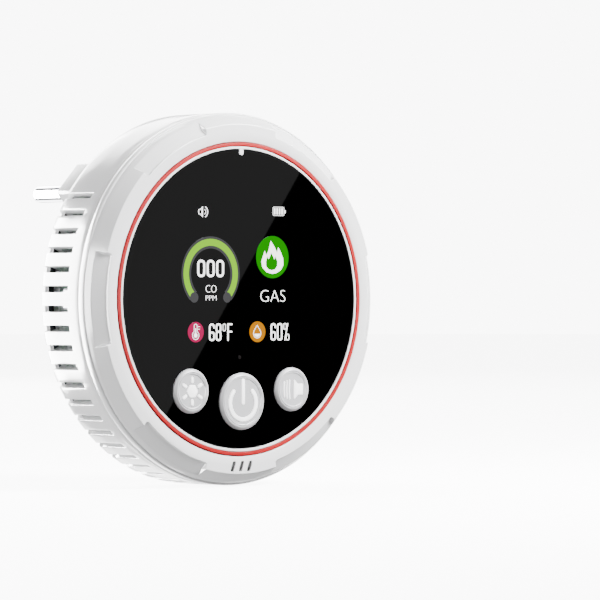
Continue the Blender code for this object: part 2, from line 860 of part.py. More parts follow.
def plug_carrier(plug):
    """The turning disc, its bayonet skirt and lugs, and the six-sided block that holds the pins."""
    inner, outer = SKIRT_R
    disc = turned(
        [
            (0.0, BOSS_TOP_D),
            (DISC_R - 0.3, BOSS_TOP_D),
            (DISC_R, BOSS_TOP_D - 0.3),
            (DISC_R, 31.8),
            (POCKET_R - GAP, 31.8),
            (POCKET_R - GAP, DISC_BACK_D),
            (outer, DISC_BACK_D),
            (outer, SKIRT_END_D),
            (inner, SKIRT_END_D),
            (inner, 30.2),
            (0.0, 30.2),
        ],
        MID_ROUND,
    )
    carrier = piece("plug_carrier", disc, plug, WHITE, 0.25, 0.0, (0.0, BOSS_UP))
    up = PLUG_UP - BOSS_UP
    neck = plug_outline(30.0, PLUG_HEIGHT - 0.4, PLUG_FLAT - 1.0)
    block = plug_outline(PLUG_WIDTH, PLUG_HEIGHT, PLUG_FLAT)
    join(carrier, [shifted(slab(neck, DISC_BACK_D, BOSS_TOP_D + CLEAR), (0, up))])
    join(carrier, [shifted(slab(block, BOSS_TOP_D + GAP, PLUG_FACE_D), (0, up))])
    lug = ring_section(outer - 0.5, LUG_R, SKIRT_END_D, LUG_TOP_D)
    join(carrier, [sector(lug, angle, LUG_SPAN) for angle in LUG_ANGLES])
    _, finger_angle = finger_place()
    margin = 6.0
    room = ring_section(inner - CLEAR, outer + 0.2, SKIRT_END_D - CLEAR, LUG_TOP_D - 0.1)
    sweep = sector(room, finger_angle + OPEN_TURN / 2, OPEN_TURN + 2 * margin, 10)
    below, screw_end = 29.0, 37.0
    pin_holes = [
        drum(PIN_R + GAP, below, PLUG_FACE_D + CLEAR, SMALL_ROUND, (x, up)) for _, x in PIN_SIDES
    ]
    cut(carrier, [sweep, drum(PILOT_R, below, screw_end, 10), *pin_holes])


def plug_back_plate(plug):
    """The plate in the skirt that holds the pins by their flanges."""
    front, back = PLATE_D
    disc = drum(SKIRT_R[0] - GAP, front, back, 36)
    plate = piece("plug_back_plate", disc, plug, WHITE, 0.4, at=(0.0, BOSS_UP))
    front, back = front - CLEAR, back + CLEAR
    tails = [drum(1.8, front, back, 12, (x, PLUG_UP - BOSS_UP)) for _, x in PIN_SIDES]
    cut(plate, [drum(PILOT_R, front, back, 10), *tails])


def plug_pins(plug):
    """Round pins with a groove in front of the block, a flange in it and a tail for the contact."""
    tip = PLUG_FACE_D + PIN_LENGTH
    bends = (0, 0.5, 1.0, math.pi / 2)
    round_tip = [(PIN_R * math.sin(a), tip - PIN_R * (1 - math.cos(a))) for a in bends]
    flange_r, flange_top = PIN_R + 1.0, PIN_FOOT_D + 0.6
    groove_r = PIN_R - 0.15
    tail_r, tail_end = 1.5, 27.3
    profile = round_tip + [
        (PIN_R, 52.0),
        (groove_r, 51.85),
        (groove_r, 51.55),
        (PIN_R, 51.4),
        (PIN_R, flange_top),
        (flange_r, flange_top),
        (flange_r, PIN_FOOT_D),
        (tail_r, PIN_FOOT_D),
        (tail_r, tail_end),
        (0.0, tail_end),
    ]
    for side, x in PIN_SIDES:
        piece(f"plug_pin_{side}", turned(profile, SMALL_ROUND), plug, METAL, 0.12, 1.0, (x, PLUG_UP))


def build():
    clear_scene()
    body = axis_empty("housing_turn_axis")
    plug = axis_empty("plug_module_axis")
    bezel_ring(body)
    accent_ring(body)
    trim_ring(body)
    display_lens(body)
    front_buttons(body)
    tact_switches(body)
    lcd_panel(body)
    lcd_frame(body)
    lcd_flex_cable(body)
    front_housing(body)
    rear_cover(body)
    main_board(body)
    main_board_parts(body)
    co_sensor(body)
    gas_sensor(body)
    sounder(body)
    power_board(body)
    power_board_parts(body)
    contact_springs(body)
    release_button(body)
    release_spring(body)
    plug_carrier(plug)
    plug_back_plate(plug)
    plate_head = PLATE_D[0] - GAP
    screw("plug_plate_screw", plug, (0.0, BOSS_UP), (plate_head - SCREW_HEAD, plate_head), 36.0)
    plug_pins(plug)


build()
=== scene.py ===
"""Looks of the plug-in carbon monoxide and gas alarm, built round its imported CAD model.

Every piece is drawn in a front view of its own: x is to the right, up is up, and a depth is
measured backwards from the front face. Lengths there are in millimetres. TO_WORLD turns that view
into the frame, so each piece lands where its CAD node is.
"""

import json
import math

import bmesh
import bpy
from mathutils import Matrix, Vector


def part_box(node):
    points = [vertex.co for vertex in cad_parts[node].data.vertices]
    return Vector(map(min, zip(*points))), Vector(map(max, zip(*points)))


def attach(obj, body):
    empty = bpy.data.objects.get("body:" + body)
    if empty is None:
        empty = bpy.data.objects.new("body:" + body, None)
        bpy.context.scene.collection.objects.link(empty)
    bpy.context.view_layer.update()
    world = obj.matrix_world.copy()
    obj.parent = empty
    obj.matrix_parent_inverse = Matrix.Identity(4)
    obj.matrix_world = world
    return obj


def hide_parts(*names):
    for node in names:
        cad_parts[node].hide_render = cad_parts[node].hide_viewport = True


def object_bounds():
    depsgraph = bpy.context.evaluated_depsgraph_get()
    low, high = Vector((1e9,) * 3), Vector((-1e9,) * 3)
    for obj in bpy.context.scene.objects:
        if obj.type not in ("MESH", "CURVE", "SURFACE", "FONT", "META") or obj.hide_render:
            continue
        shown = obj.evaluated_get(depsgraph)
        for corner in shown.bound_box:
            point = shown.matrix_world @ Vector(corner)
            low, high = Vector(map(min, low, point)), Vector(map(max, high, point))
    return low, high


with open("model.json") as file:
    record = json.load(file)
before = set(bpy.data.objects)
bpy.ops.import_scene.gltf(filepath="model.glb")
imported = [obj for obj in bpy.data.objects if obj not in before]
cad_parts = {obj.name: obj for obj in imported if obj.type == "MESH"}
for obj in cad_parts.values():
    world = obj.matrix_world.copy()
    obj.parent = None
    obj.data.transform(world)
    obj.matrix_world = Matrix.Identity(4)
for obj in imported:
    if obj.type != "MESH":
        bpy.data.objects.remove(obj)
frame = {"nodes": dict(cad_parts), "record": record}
CAD_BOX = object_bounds()

MM = 0.001

# Places and sizes read from the frame
BEZEL_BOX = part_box("bezel_ring")
HOUSING_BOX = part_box("front_housing")
COVER_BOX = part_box("rear_cover")
CARRIER_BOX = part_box("plug_carrier")
PIN_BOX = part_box("plug_pin_right")
FACE = Vector((
    (BEZEL_BOX[0].x + BEZEL_BOX[1].x) / 2,
    BEZEL_BOX[0].y,
    (BEZEL_BOX[0].z + BEZEL_BOX[1].z) / 2,
))
TO_WORLD = (
    Matrix.Translation(FACE)
    @ Matrix.Rotation(math.pi / 2, 4, "X")
    @ Matrix.Diagonal((MM, MM, MM, 1.0))
)


def depth_of(y):
    return (y - FACE.y) / MM


def middle_of(node):
    """The (x, up) middle of a CAD node in the front view."""
    low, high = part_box(node)
    return ((low.x + high.x) / 2 - FACE.x) / MM, ((low.z + high.z) / 2 - FACE.z) / MM


BODY_R = (BEZEL_BOX[1].x - BEZEL_BOX[0].x) / 2 / MM
HOUSING_D = (depth_of(HOUSING_BOX[0].y), depth_of(HOUSING_BOX[1].y))
COVER_FRONT_D = depth_of(COVER_BOX[0].y)
BOSS_TOP_D = depth_of(COVER_BOX[1].y)
PLUG_FACE_D = depth_of(CARRIER_BOX[1].y)
PIN_TIP_D = depth_of(PIN_BOX[1].y)
PIN_X = middle_of("plug_pin_right")[0]
PLUG_UP = middle_of("plug_pin_right")[1]
BUTTON_FRONT_D = depth_of(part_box("power_button")[0].y)
LENS_FRONT_D = depth_of(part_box("display_lens")[0].y)
DOME_UP = middle_of("sounder")[1]
BOSS_UP = middle_of("plug_back_plate")[1]

# Bezel
BEZEL_IN_R = 36.15
NOTCHES = 6
NOTCH_SPAN = 30.0
NOTCH_IN_R = 38.75
NOTCH_D = 0.3
NOTCH_SLOPE = 0.71
NOTCH_WALL = 3.2
NOTCH_CORNER = 0.7
FACE_SLOTS = (-2.45, 0.0, 2.45)
FACE_SLOT_UP = -38.45
SLOT_LEAN = 0.34
SLOT_HALF = (0.5, 1.2)
# Size and depths of the black blocks in the slots, which are painted shade.
SLOT_SHADE_HALF = (0.46, 1.16)
SLOT_SHADE_D = (0.3, 3.8)

# Pointer of the trim ring
POINTER_HALF = 0.625
POINTER_GAP = 0.25

# Vents and perforations
VENTS = 42
CELLS = 60
VENT_PITCH = 360.0 / CELLS
VENT_WIDTH = 1.44
VENT_START_D = 9.4
VENT_END_D = 20.6
PERFORATIONS = ((33.6, 1.4), (30.8, 1.1), (28.6, 0.8))

# Back
BACK_D = 24.3
FLOOR_D = 22.5
INNER_R = 41.2
BOSS_R = 19.5
POCKET_R = 18.0
DISC_R = 16.0
WORD_R = 13.6
WORD_HEIGHT = 1.9
PIN_R = 2.0
RELEASE_AT = (12.2, 1.0)
RELEASE_R = 3.6

# Camera
AZIMUTH = -40.46
CAMERA_AWAY = 0.897
LENS_MM = 234.0
AIM_RIGHT = 0.01345
AIM_DOWN = 0.00023
SENSOR_MM = 36.0


# Shapes in the front view, in millimetres. Each returns a bmesh.


def polar(radius, degrees, at=(0.0, 0.0)):
    turn = math.radians(degrees)
    return at[0] + radius * math.cos(turn), at[1] + radius * math.sin(turn)


def circle(radius, steps, at=(0.0, 0.0)):
    return [polar(radius, 360.0 * i / steps, at) for i in range(steps)]


def arc(radius, start, end, steps, at=(0.0, 0.0)):
    return [polar(radius, start + (end - start) * i / steps, at) for i in range(steps + 1)]


def rounded(points, radius, steps=4):
    """A closed outline with its corners rounded. A third value on a point is that corner's own radius."""
    made = []
    for i, point in enumerate(points):
        corner = Vector(point[:2])
        before = Vector(points[i - 1][:2]) - corner
        after = Vector(points[(i + 1) % len(points)][:2]) - corner
        own = point[2] if len(point) > 2 else radius
        turn = before.angle(after)
        if own <= 0 or turn > math.pi - 0.02:
            made.append(tuple(corner))
            continue
        back = min(own / math.tan(turn / 2), 0.49 * before.length, 0.49 * after.length)
        near, far = before.normalized() * back, after.normalized() * back
        for k in range(steps + 1):
            t = k / steps
            made.append(tuple(corner + near * (1 - t) ** 2 + far * t * t))
    return made


def skinned(rings):
    """The closed surface through a closed series of rings, each a list of points."""
    bm = bmesh.new()
    rows = [[bm.verts.new(p) for p in ring] for ring in rings]
    for row, after in zip(rows, rows[1:] + rows[:1]):
        for i in range(len(row)):
            j = (i + 1) % len(row)
            bm.faces.new((row[i], row[j], after[j], after[i]))
    return bm


def lathe(profile, steps=224, at=(0.0, 0.0)):
    """The closed (radius, depth) profile turned round the depth axis through at."""
    bm = bmesh.new()
    rows = []
    for radius, depth in profile:
        if radius < 1e-6:
            rows.append([bm.verts.new((at[0], at[1], -depth))] * steps)
        else:
            rows.append([bm.verts.new((x, y, -depth)) for x, y in circle(radius, steps, at)])
    for row, after in zip(rows, rows[1:] + rows[:1]):
        for i in range(steps):
            j = (i + 1) % steps
            corners = dict.fromkeys((row[i], row[j], after[j], after[i]))
            if len(corners) > 2:
                bm.faces.new(corners)
    bmesh.ops.recalc_face_normals(bm, faces=bm.faces)
    return bm


def prism(outline, front, back):
    """An (x, up) outline extruded from one depth to another."""
    bm = bmesh.new()
    face = bm.faces.new([bm.verts.new((x, y, -front)) for x, y in outline])
    grown = bmesh.ops.extrude_face_region(bm, geom=[face])["geom"]
    ends = [v for v in grown if isinstance(v, bmesh.types.BMVert)]
    bmesh.ops.translate(bm, verts=ends, vec=(0, 0, front - back))
    bmesh.ops.recalc_face_normals(bm, faces=bm.faces)
    return bm


def band(inner, outer, front, back):
    """The strip between two paths of the same number of points, from one depth to another."""
    return prism(list(outer) + list(inner)[::-1], front, back)


def stroke(path, width, front, back, closed=False):
    """A line of even width along an (x, up) path, with round ends if it is open."""
    half = width / 2
    count = len(path)
    left, right = [], []
    for i, point in enumerate(path):
        ahead = path[(i + 1) % count] if closed else path[min(i + 1, count - 1)]
        behind = path[i - 1] if closed else path[max(i - 1, 0)]
        along = (Vector(ahead) - Vector(behind)).normalized()
        side = Vector((-along.y, along.x)) * half
        left.append(tuple(Vector(point) + side))
        right.append(tuple(Vector(point) - side))
    if closed:
        sides = ((left, front), (right, front), (right, back), (left, back))
        bm = skinned([[(x, y, -depth) for x, y in line] for line, depth in sides])
        bmesh.ops.recalc_face_normals(bm, faces=bm.faces)
        return bm
    ends = []
    for point, other in ((path[-1], path[-2]), (path[0], path[1])):
        out = (Vector(point) - Vector(other)).normalized()
        heading = math.degrees(math.atan2(out.y, out.x))
        ends.append(arc(half, heading + 67.5, heading - 67.5, 6, point))
    return prism(left + ends[0] + right[::-1] + ends[1], front, back)


def merged(shapes):
    whole = bmesh.new()
    for shape in shapes:
        mesh = bpy.data.meshes.new("shape")
        shape.to_mesh(mesh)
        shape.free()
        whole.from_mesh(mesh)
        bpy.data.meshes.remove(mesh)
    return whole


def moved(bm, offset=(0.0, 0.0), degrees=0.0):
    """Turned about the view's origin, then shifted."""
    turn = Matrix.Rotation(math.radians(degrees), 3, "Z")
    bmesh.ops.rotate(bm, verts=bm.verts, cent=(0, 0, 0), matrix=turn)
    bmesh.ops.translate(bm, verts=bm.verts, vec=(offset[0], offset[1], 0))
    return bm


def lettering(text, box, front, back, weight=0.0, outline=0.0):
    """Words fitted into an (x0, x1, up0, up1) box. An outline above 0 makes hollow letters of round line."""
    curve = bpy.data.curves.new("lettering", "FONT")
    curve.body = text
    curve.size = 1.0
    curve.resolution_u = 6
    curve.offset = weight
    if outline:
        curve.fill_mode = "NONE"
        curve.bevel_depth = outline
        curve.bevel_resolution = 1
    obj = bpy.data.objects.new("lettering", curve)
    bpy.context.scene.collection.objects.link(obj)
    graph = bpy.context.evaluated_depsgraph_get()
    mesh = bpy.data.meshes.new_from_object(obj.evaluated_get(graph))
    bpy.data.objects.remove(obj)
    bm = bmesh.new()
    bm.from_mesh(mesh)
    bpy.data.meshes.remove(mesh)
    if not outline:
        bmesh.ops.remove_doubles(bm, verts=bm.verts, dist=1e-5)
        grown = bmesh.ops.extrude_face_region(bm, geom=list(bm.faces))["geom"]
        ends = [v for v in grown if isinstance(v, bmesh.types.BMVert)]
        bmesh.ops.translate(bm, verts=ends, vec=(0, 0, 1.0))
        bmesh.ops.recalc_face_normals(bm, faces=bm.faces)
    xs = [v.co.x for v in bm.verts]
    ys = [v.co.y for v in bm.verts]
    zs = [v.co.z for v in bm.verts]
    scale_x = (box[1] - box[0]) / (max(xs) - min(xs))
    scale_y = (box[3] - box[2]) / (max(ys) - min(ys))
    thick = (back - front) / (max(zs) - min(zs))
    for v in bm.verts:
        v.co.x = box[0] + (v.co.x - min(xs)) * scale_x
        v.co.y = box[2] + (v.co.y - min(ys)) * scale_y
        v.co.z = -back + (v.co.z - min(zs)) * thick
    return bm


# Objects


def helper(name, shapes):
    """A cutter for a Boolean modifier, removed once the modifier has been applied."""
    mesh = bpy.data.meshes.new(name)
    whole = merged(shapes)
    whole.to_mesh(mesh)
    whole.free()
    obj = bpy.data.objects.new(name, mesh)
    bpy.context.scene.collection.objects.link(obj)
    return obj


def solid(name, shapes, operations=(), bevel=0.0, segments=2, flat=32.0):
    """A mesh in front-view millimetres, after its Booleans and its bevel, put in its place in the frame."""
    obj = helper(name, shapes)
    helpers = []
    for operation, cutters in operations:
        tool = helper(name + "_tool", cutters)
        helpers.append(tool)
        modifier = obj.modifiers.new(operation.title(), "BOOLEAN")
        modifier.operation = operation
        modifier.solver = "EXACT"
        modifier.object = tool
    if bevel:
        modifier = obj.modifiers.new("Bevel", "BEVEL")
        modifier.width = bevel
        modifier.segments = segments
        modifier.limit_method = "ANGLE"
        modifier.angle_limit = math.radians(flat)
    graph = bpy.context.evaluated_depsgraph_get()
    mesh = bpy.data.meshes.new_from_object(obj.evaluated_get(graph))
    mesh.name = name
    obj.modifiers.clear()
    obj.data = mesh
    for tool in helpers:
        bpy.data.objects.remove(tool)
    mesh.transform(TO_WORLD)
    mesh.shade_smooth()
    mesh.set_sharp_from_angle(angle=math.radians(flat))
    return obj


def placed(obj, body, slot, material, *nodes):
    """Gives the piece its material and its body, and hides the CAD nodes that it stands for. The slot is not
    used.
    """
    obj.data.materials.clear()
    obj.data.materials.append(material)
    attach(obj, body)
    if nodes:
        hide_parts(*nodes)
    return obj


# Materials


class Surface:
    """A Principled material whose colour, roughness and relief come from noise in object space."""

    def __init__(self, name):
        self.material = bpy.data.materials.new(name)
        self.material.use_nodes = True
        self.tree = self.material.node_tree
        self.shader = self.tree.nodes["Principled BSDF"]
        self.place = self.node("ShaderNodeTexCoord").outputs["Object"]

    def node(self, kind):
        return self.tree.nodes.new(kind)

    def link(self, source, target):
        self.tree.links.new(source, target)

    def set(self, **values):
        for name, value in values.items():
            self.shader.inputs[name.replace("_", " ")].default_value = value
        return self

    def noise(self, grain_mm, detail=2.0):
        noise = self.node("ShaderNodeTexNoise")
        noise.inputs["Scale"].default_value = 1.0 / (grain_mm * MM)
        noise.inputs["Detail"].default_value = detail
        self.link(self.place, noise.inputs["Vector"])
        return noise.outputs["Fac"]

    def colour(self, first, second, grain_mm):
        """Base colour that drifts between two close tones."""
        mix = self.node("ShaderNodeMix")
        mix.data_type = "RGBA"
        mix.inputs["A"].default_value = (*first, 1.0)
        mix.inputs["B"].default_value = (*second, 1.0)
        self.link(self.noise(grain_mm, 3.0), mix.inputs["Factor"])
        self.link(mix.outputs["Result"], self.shader.inputs["Base Color"])
        return self

    def roughness(self, low, high, grain_mm):
        ramp = self.node("ShaderNodeMapRange")
        ramp.inputs["To Min"].default_value = low
        ramp.inputs["To Max"].default_value = high
        self.link(self.noise(grain_mm, 4.0), ramp.inputs["Value"])
        self.link(ramp.outputs["Result"], self.shader.inputs["Roughness"])
        return self

    def relief(self, grain_mm, strength, height_mm=0.02, source=None):
        bump = self.node("ShaderNodeBump")
        bump.inputs["Strength"].default_value = strength
        bump.inputs["Distance"].default_value = height_mm * MM
        self.link(source or self.noise(grain_mm), bump.inputs["Height"])
        self.link(bump.outputs["Normal"], self.shader.inputs["Normal"])
        return self


def moulded(name, light, dark, rough=(0.16, 0.24), grain=0.9, strength=0.08):
    """Glossy moulded plastic: a faint drift of tone, and a fine spark-eroded skin."""
    return (
        Surface(name)
        .colour(light, dark, 14.0)
        .roughness(*rough, 5.0)
        .relief(grain, strength, 0.01)
        .set(IOR=1.6)
        .material
    )


def metal(name, light, dark, rough, grain=2.0, strength=0.05):
    return (
        Surface(name)
        .colour(light, dark, grain * 3)
        .roughness(*rough, grain)
        .relief(grain / 4, strength, 0.01)
        .set(Metallic=1.0)
        .material
    )


def glass_black():
    """The smoked front glass."""
    return (
        Surface("display_glass_looks")
        .colour((0.00005, 0.00005, 0.00006), (0.0001, 0.0001, 0.00012), 20.0)
        .roughness(0.008, 0.016, 8.0)
        .set(IOR=1.5)
        .material
    )


def readout(name, colour, strength):
    """A lit part of the display, under the same gloss as the glass."""
    surface = Surface(name).colour((0.0001, 0.0001, 0.0001), (0.0002, 0.0002, 0.0002), 10.0)
    surface.roughness(0.008, 0.016, 8.0)
    mix = surface.node("ShaderNodeMix")
    mix.data_type = "RGBA"
    mix.inputs["A"].default_value = (*(0.94 * c for c in colour), 1.0)
    mix.inputs["B"].default_value = (*colour, 1.0)
    surface.link(surface.noise(0.35, 1.0), mix.inputs["Factor"])
    surface.link(mix.outputs["Result"], surface.shader.inputs["Emission Color"])
    return surface.set(Emission_Strength=strength).material


# Front


BEZEL_FACE = (
    (BEZEL_IN_R, 0.22),
    (BEZEL_IN_R + 0.06, 0.08),
    (BEZEL_IN_R + 0.2, 0.0),
    (40.1, 0.0),
    (40.22, 0.03),
    (40.32, 0.14),
    (40.42, 0.32),
    (40.56, 0.5),
    (41.6, 2.2),
    (42.36, 3.45),
    (42.42, 3.75),
    (42.52, 3.86),
    (42.64, 3.8),
    (42.78, 3.84),
    (42.92, 4.0),
    (43.0, 4.3),
)


def face_depth(radius):
    """Depth of the bezel's front between the notches."""
    for (r0, d0), (r1, d1) in zip(BEZEL_FACE, BEZEL_FACE[1:]):
        if radius <= r1:
            return d0 + (d1 - d0) * max(0.0, radius - r0) / (r1 - r0)
    return BEZEL_FACE[-1][1]


def soft_max(a, b, blend):
    spread = max(blend - abs(a - b), 0.0) / blend
    return max(a, b) + spread * spread * blend / 4


def notched_depth(radius, degrees):
    """Depth of the bezel's front, with a notch's floor and its three walls."""
    pitch = 360.0 / NOTCHES
    off = abs((degrees + pitch / 2) % pitch - pitch / 2)
    to_end = math.radians(NOTCH_SPAN / 2 - off) * radius
    to_side = radius - NOTCH_IN_R
    inside = min(to_end, to_side)
    if to_end < NOTCH_CORNER and to_side < NOTCH_CORNER:
        inside = NOTCH_CORNER - math.hypot(NOTCH_CORNER - to_end, NOTCH_CORNER - to_side)
    plain = face_depth(radius)
    if inside < -0.5:
        return plain
    floor = NOTCH_D + to_side * NOTCH_SLOPE
    wall = plain + inside * NOTCH_WALL
    cut = -soft_max(-floor, -wall, 0.2)
    return soft_max(plain, cut, 0.12)


def leaning_slot(x, half, corner):
    """The outline of a slot of the bezel, or of what fills it."""
    wide, high = half
    corners = [(x - wide, -high), (x + wide, -high), (x + wide, high), (x - wide, high)]
    return rounded([(px + SLOT_LEAN * py, py + FACE_SLOT_UP) for px, py in corners], corner, 5)


def bezel_ring():
    fine = 0.06
    radii = {round(r, 4) for r, _ in BEZEL_FACE}
    radii |= {round(NOTCH_IN_R - 0.3 + fine * i, 4) for i in range(21)}
    radii |= {round(NOTCH_IN_R + 1.1 + 0.16 * i, 4) for i in range(14)}
    radii |= {round(41.7 + 0.05 * i, 4) for i in range(8)}
    radii = sorted(radii)
    turns = []
    pitch = 360.0 / NOTCHES
    half = NOTCH_SPAN / 2
    for notch in range(NOTCHES):
        middle = notch * pitch
        for side in (-1, 1):
            turns += [middle + side * half + 0.08 * (i - 18) for i in range(37)]
        turns += [middle - half + 2 + (NOTCH_SPAN - 4) * i / 20 for i in range(21)]
        gap = pitch - NOTCH_SPAN
        turns += [middle + half + 2 + (gap - 4) * i / 20 for i in range(21)]
    turns = sorted(turns)
    back = [(43.0, 5.2), (42.9, 5.4), (41.2, 5.4), (40.9, 5.6), (40.9, 7.4), (39.6, 7.4), (39.6, 3.6),
            (33.0, 3.6), (33.0, 2.1), (36.05, 2.1), (BEZEL_IN_R, 2.0)]
    rings = []
    for turn in turns:
        ring = [(*polar(r, turn), -notched_depth(r, turn)) for r in radii]
        ring += [(*polar(r, turn), -d) for r, d in back]
        rings.append(ring)
    slots = [prism(leaning_slot(x, SLOT_HALF, 0.45), -1.0, 5.0) for x in FACE_SLOTS]
    shell = skinned(rings)
    bmesh.ops.recalc_face_normals(shell, faces=shell.faces)
    return solid("bezel_ring_fine", [shell], [("DIFFERENCE", slots)], flat=40.0)


def slot_shade_fill():
    """Black blocks that fill the three slots of the bezel, just below its face: painted shade for the shade
    inside the slots.
    """
    fills = [prism(leaning_slot(x, SLOT_SHADE_HALF, 0.41), *SLOT_SHADE_D) for x in FACE_SLOTS]
    return solid("slot_shade_fill", fills, bevel=0.06, segments=1, flat=60.0)


def vent_shade_sheet():
    """A black sheet along the taper of the cover, inside the vents: painted shade that darkens the shadowed
    inside of the vents.
    """
    profile = [(41.55, 18.4), (41.65, 18.4), (41.65, 18.5), (35.55, 22.8), (35.3, 22.8), (41.4, 18.5)]
    return solid("vent_shade_sheet", [lathe(profile)], flat=30.0)


def accent_ring():
    profile = rounded([(35.2, -0.22), (36.02, -0.22), (36.02, 1.15), (35.2, 1.15)], 0.12)
    return solid("accent_ring_fine", [lathe(profile)])


def trim_ring():
    profile = rounded(
        [(34.5, 0.0), (35.1, 0.0), (35.1, 1.3, 0), (36.0, 1.3, 0), (36.0, 1.95, 0), (34.5, 1.95, 0)], 0.14
    )
    tip = arc(POINTER_HALF, 180, 360, 10, (0.0, 33.1 + POINTER_HALF))
    pointer = prism(tip + [(POINTER_HALF, 34.85), (-POINTER_HALF, 34.85)], 0.03, 1.2)
    return solid("trim_ring_fine", [lathe(profile), pointer])


def display_lens(buttons):
    glass = lathe([(0.0, 0.1), (34.34, 0.1), (34.46, 0.22), (34.46, 1.8), (0.0, 1.8)])
    holes = [prism(circle(r + 0.07, 72, (x, up)), -1.0, 3.0) for x, up, r in buttons]
    room = POINTER_HALF + POINTER_GAP
    notch = rounded([(-room, 33.0), (room, 33.0), (room, 36.0), (-room, 36.0)], 0.6)
    holes.append(prism(notch, -1.0, 3.0))
    return solid("display_lens_fine", [glass], [("DIFFERENCE", holes)])


# Readout


GAUGE_AT = (-9.05, 5.75)
LAYER = 0.012
INLAY_FRONT = LENS_FRONT_D - 0.03
INLAY_BACK = LENS_FRONT_D + 0.15


def inlay(outline):
    return prism(outline, INLAY_FRONT, INLAY_BACK)


def over(outline, step=1):
    """An inlay that lies on top of another one."""
    return prism(outline, INLAY_FRONT - LAYER * step, INLAY_BACK)


def inlay_stroke(path, width, closed=False, step=0):
    return stroke(path, width, INLAY_FRONT - LAYER * step, INLAY_BACK, closed)


def ring_part(inner, outer, start, end, at, step=0):
    steps = 72
    inside = arc(inner, start, end, steps, at)
    outside = arc(outer, start, end, steps, at)
    return band(inside, outside, INLAY_FRONT - LAYER * step, INLAY_BACK)


def words(text, box, weight=0.0):
    return lettering(text, box, INLAY_FRONT - 2 * LAYER, INLAY_BACK, weight)


def loop_path(left, right, low, high):
    """The closed line of a narrow round-cornered frame."""
    corner = 0.48 * (right - left)
    return rounded([(left, low), (right, low), (right, high), (left, high)], corner, 6)


def digit(sign, left, right, low, high):
    """The lines of one condensed character: (path, is it closed)."""
    middle = (low + high) / 2
    bend = 0.5 * (right - left)
    arm = 0.3 * (right - left)
    centre = (left + right) / 2
    if sign == "0":
        return [(loop_path(left, right, low, high), True)]
    if sign == "8":
        return [
            (loop_path(left, right, low, middle + 0.1), True),
            (loop_path(left, right, middle + 0.1, high), True),
        ]
    if sign == "6":
        top = arc(bend, 0, 180, 8, (left + bend, high - bend))
        hook = [(right, high - bend - 0.15)] + top + [(left, middle), (left, low + bend)]
        return [(loop_path(left, right, low, middle - 0.05), True), (hook, False)]
    if sign == "F":
        return [
            ([(left, low), (left, middle), (left, high)], False),
            ([(left, high), (left + arm, high), (right, high)], False),
            ([(left, middle + 0.1), (left + arm, middle + 0.1), (right - 0.1, middle + 0.1)], False),
        ]
    return [
        (loop_path(left, left + 0.85, high - 1.3, high), True),
        (loop_path(right - 0.85, right, low, low + 1.3), True),
        ([(left + 0.35, low), (centre, middle), (right - 0.35, high)], False),
    ]


def digits(text, left, low, high, wide, pitch, width):
    """Condensed characters drawn with one line width."""
    shapes = []
    for i, sign in enumerate(text):
        inset = width / 2
        start = left + i * pitch
        for path, closed in digit(sign, start + inset, start + wide - inset, low + inset, high - inset):
            shapes.append(inlay_stroke(path, width, closed, 2))
    return shapes


WHITE_FLAME = (
    (8.8, 13.5, 0.04), (9.95, 12.1), (10.75, 10.7, 0.06), (11.1, 12.0, 0.04), (11.9, 10.8), (12.55, 9.4),
    (12.65, 7.95), (11.85, 6.7), (10.45, 6.0), (9.25, 5.85), (7.6, 6.2), (6.3, 7.3), (6.0, 8.7), (6.5, 9.9),
    (7.0, 11.15, 0.04), (7.45, 10.1, 0.06), (8.1, 11.1), (8.5, 12.3),
)
GREEN_DROP = (
    (8.95, 10.75, 0.04), (9.6, 9.75), (9.95, 9.1, 0.08), (10.2, 9.95, 0.04), (10.85, 8.7), (10.75, 7.6),
    (10.05, 6.85), (9.15, 6.65), (8.1, 6.85), (7.4, 7.6), (7.35, 8.6), (7.75, 9.9, 0.04), (8.15, 9.2, 0.08),
    (8.65, 10.0),
)


def status_signs():
    """The loudspeaker and the battery at the top of the readout."""
    x, up = -11.35, 19.9
    cone = [(x - 1.25, up - 0.5), (x - 0.85, up - 0.5), (x - 0.1, up - 1.15), (x - 0.1, up + 1.15),
            (x - 0.85, up + 0.5), (x - 1.25, up + 0.5)]
    shapes = [
        inlay_stroke(cone, 0.18, closed=True),
        inlay([(x - 0.4, up - 0.9), (x - 0.05, up - 1.25), (x - 0.05, up + 1.25), (x - 0.4, up + 0.9)]),
        inlay_stroke(arc(0.7, -50, 50, 8, (x + 0.1, up)), 0.14),
        inlay_stroke(arc(1.3, -62, 62, 10, (x + 0.1, up)), 0.18),
    ]
    cell = rounded([(9.55, 19.35), (12.85, 19.35), (12.85, 21.3), (9.55, 21.3)], 0.3)
    shapes.append(inlay_stroke(cell, 0.1, closed=True))
    shapes.append(inlay([(13.0, 19.85), (13.35, 19.95), (13.35, 20.55), (13.0, 20.65)]))
    for i in range(4):
        left = 9.85 + 0.74 * i
        shapes.append(inlay([(left, 19.6), (left + 0.42, 19.6), (left + 0.42, 21.05), (left, 21.05)]))
    return shapes


def small_signs():
    """The thermometer and the water drop."""
    bulb = (-13.5, -8.3)
    tube = [polar(0.95, 115, bulb), polar(0.95, 425, bulb)]
    shell = arc(0.95, 118, 422, 18, bulb) + arc(0.42, 0, 180, 6, (bulb[0], -6.15))
    shapes = [
        inlay_stroke(shell, 0.12, closed=True, step=2),
        over(circle(0.5, 20, bulb), 2),
        over([(bulb[0] + x, up) for x, up in ((-0.12, -8.0), (0.12, -8.0), (0.12, -6.7), (-0.12, -6.7))], 2),
    ]
    for up in (-6.3, -6.9):
        left = tube[1][0] + 0.25
        shapes.append(inlay_stroke([(left, up), (left + 0.25, up), (left + 0.5, up)], 0.11, step=2))
    at = (4.74, -7.9)
    drop = [polar(1.1, turn, at) for turn in range(-215, 36, 10)] + [(4.74, -6.05)]
    shapes.append(inlay_stroke(drop, 0.13, closed=True, step=2))
    shapes.append(over([polar(0.85, turn, at) for turn in range(-170, -9, 10)], 2))
    return shapes


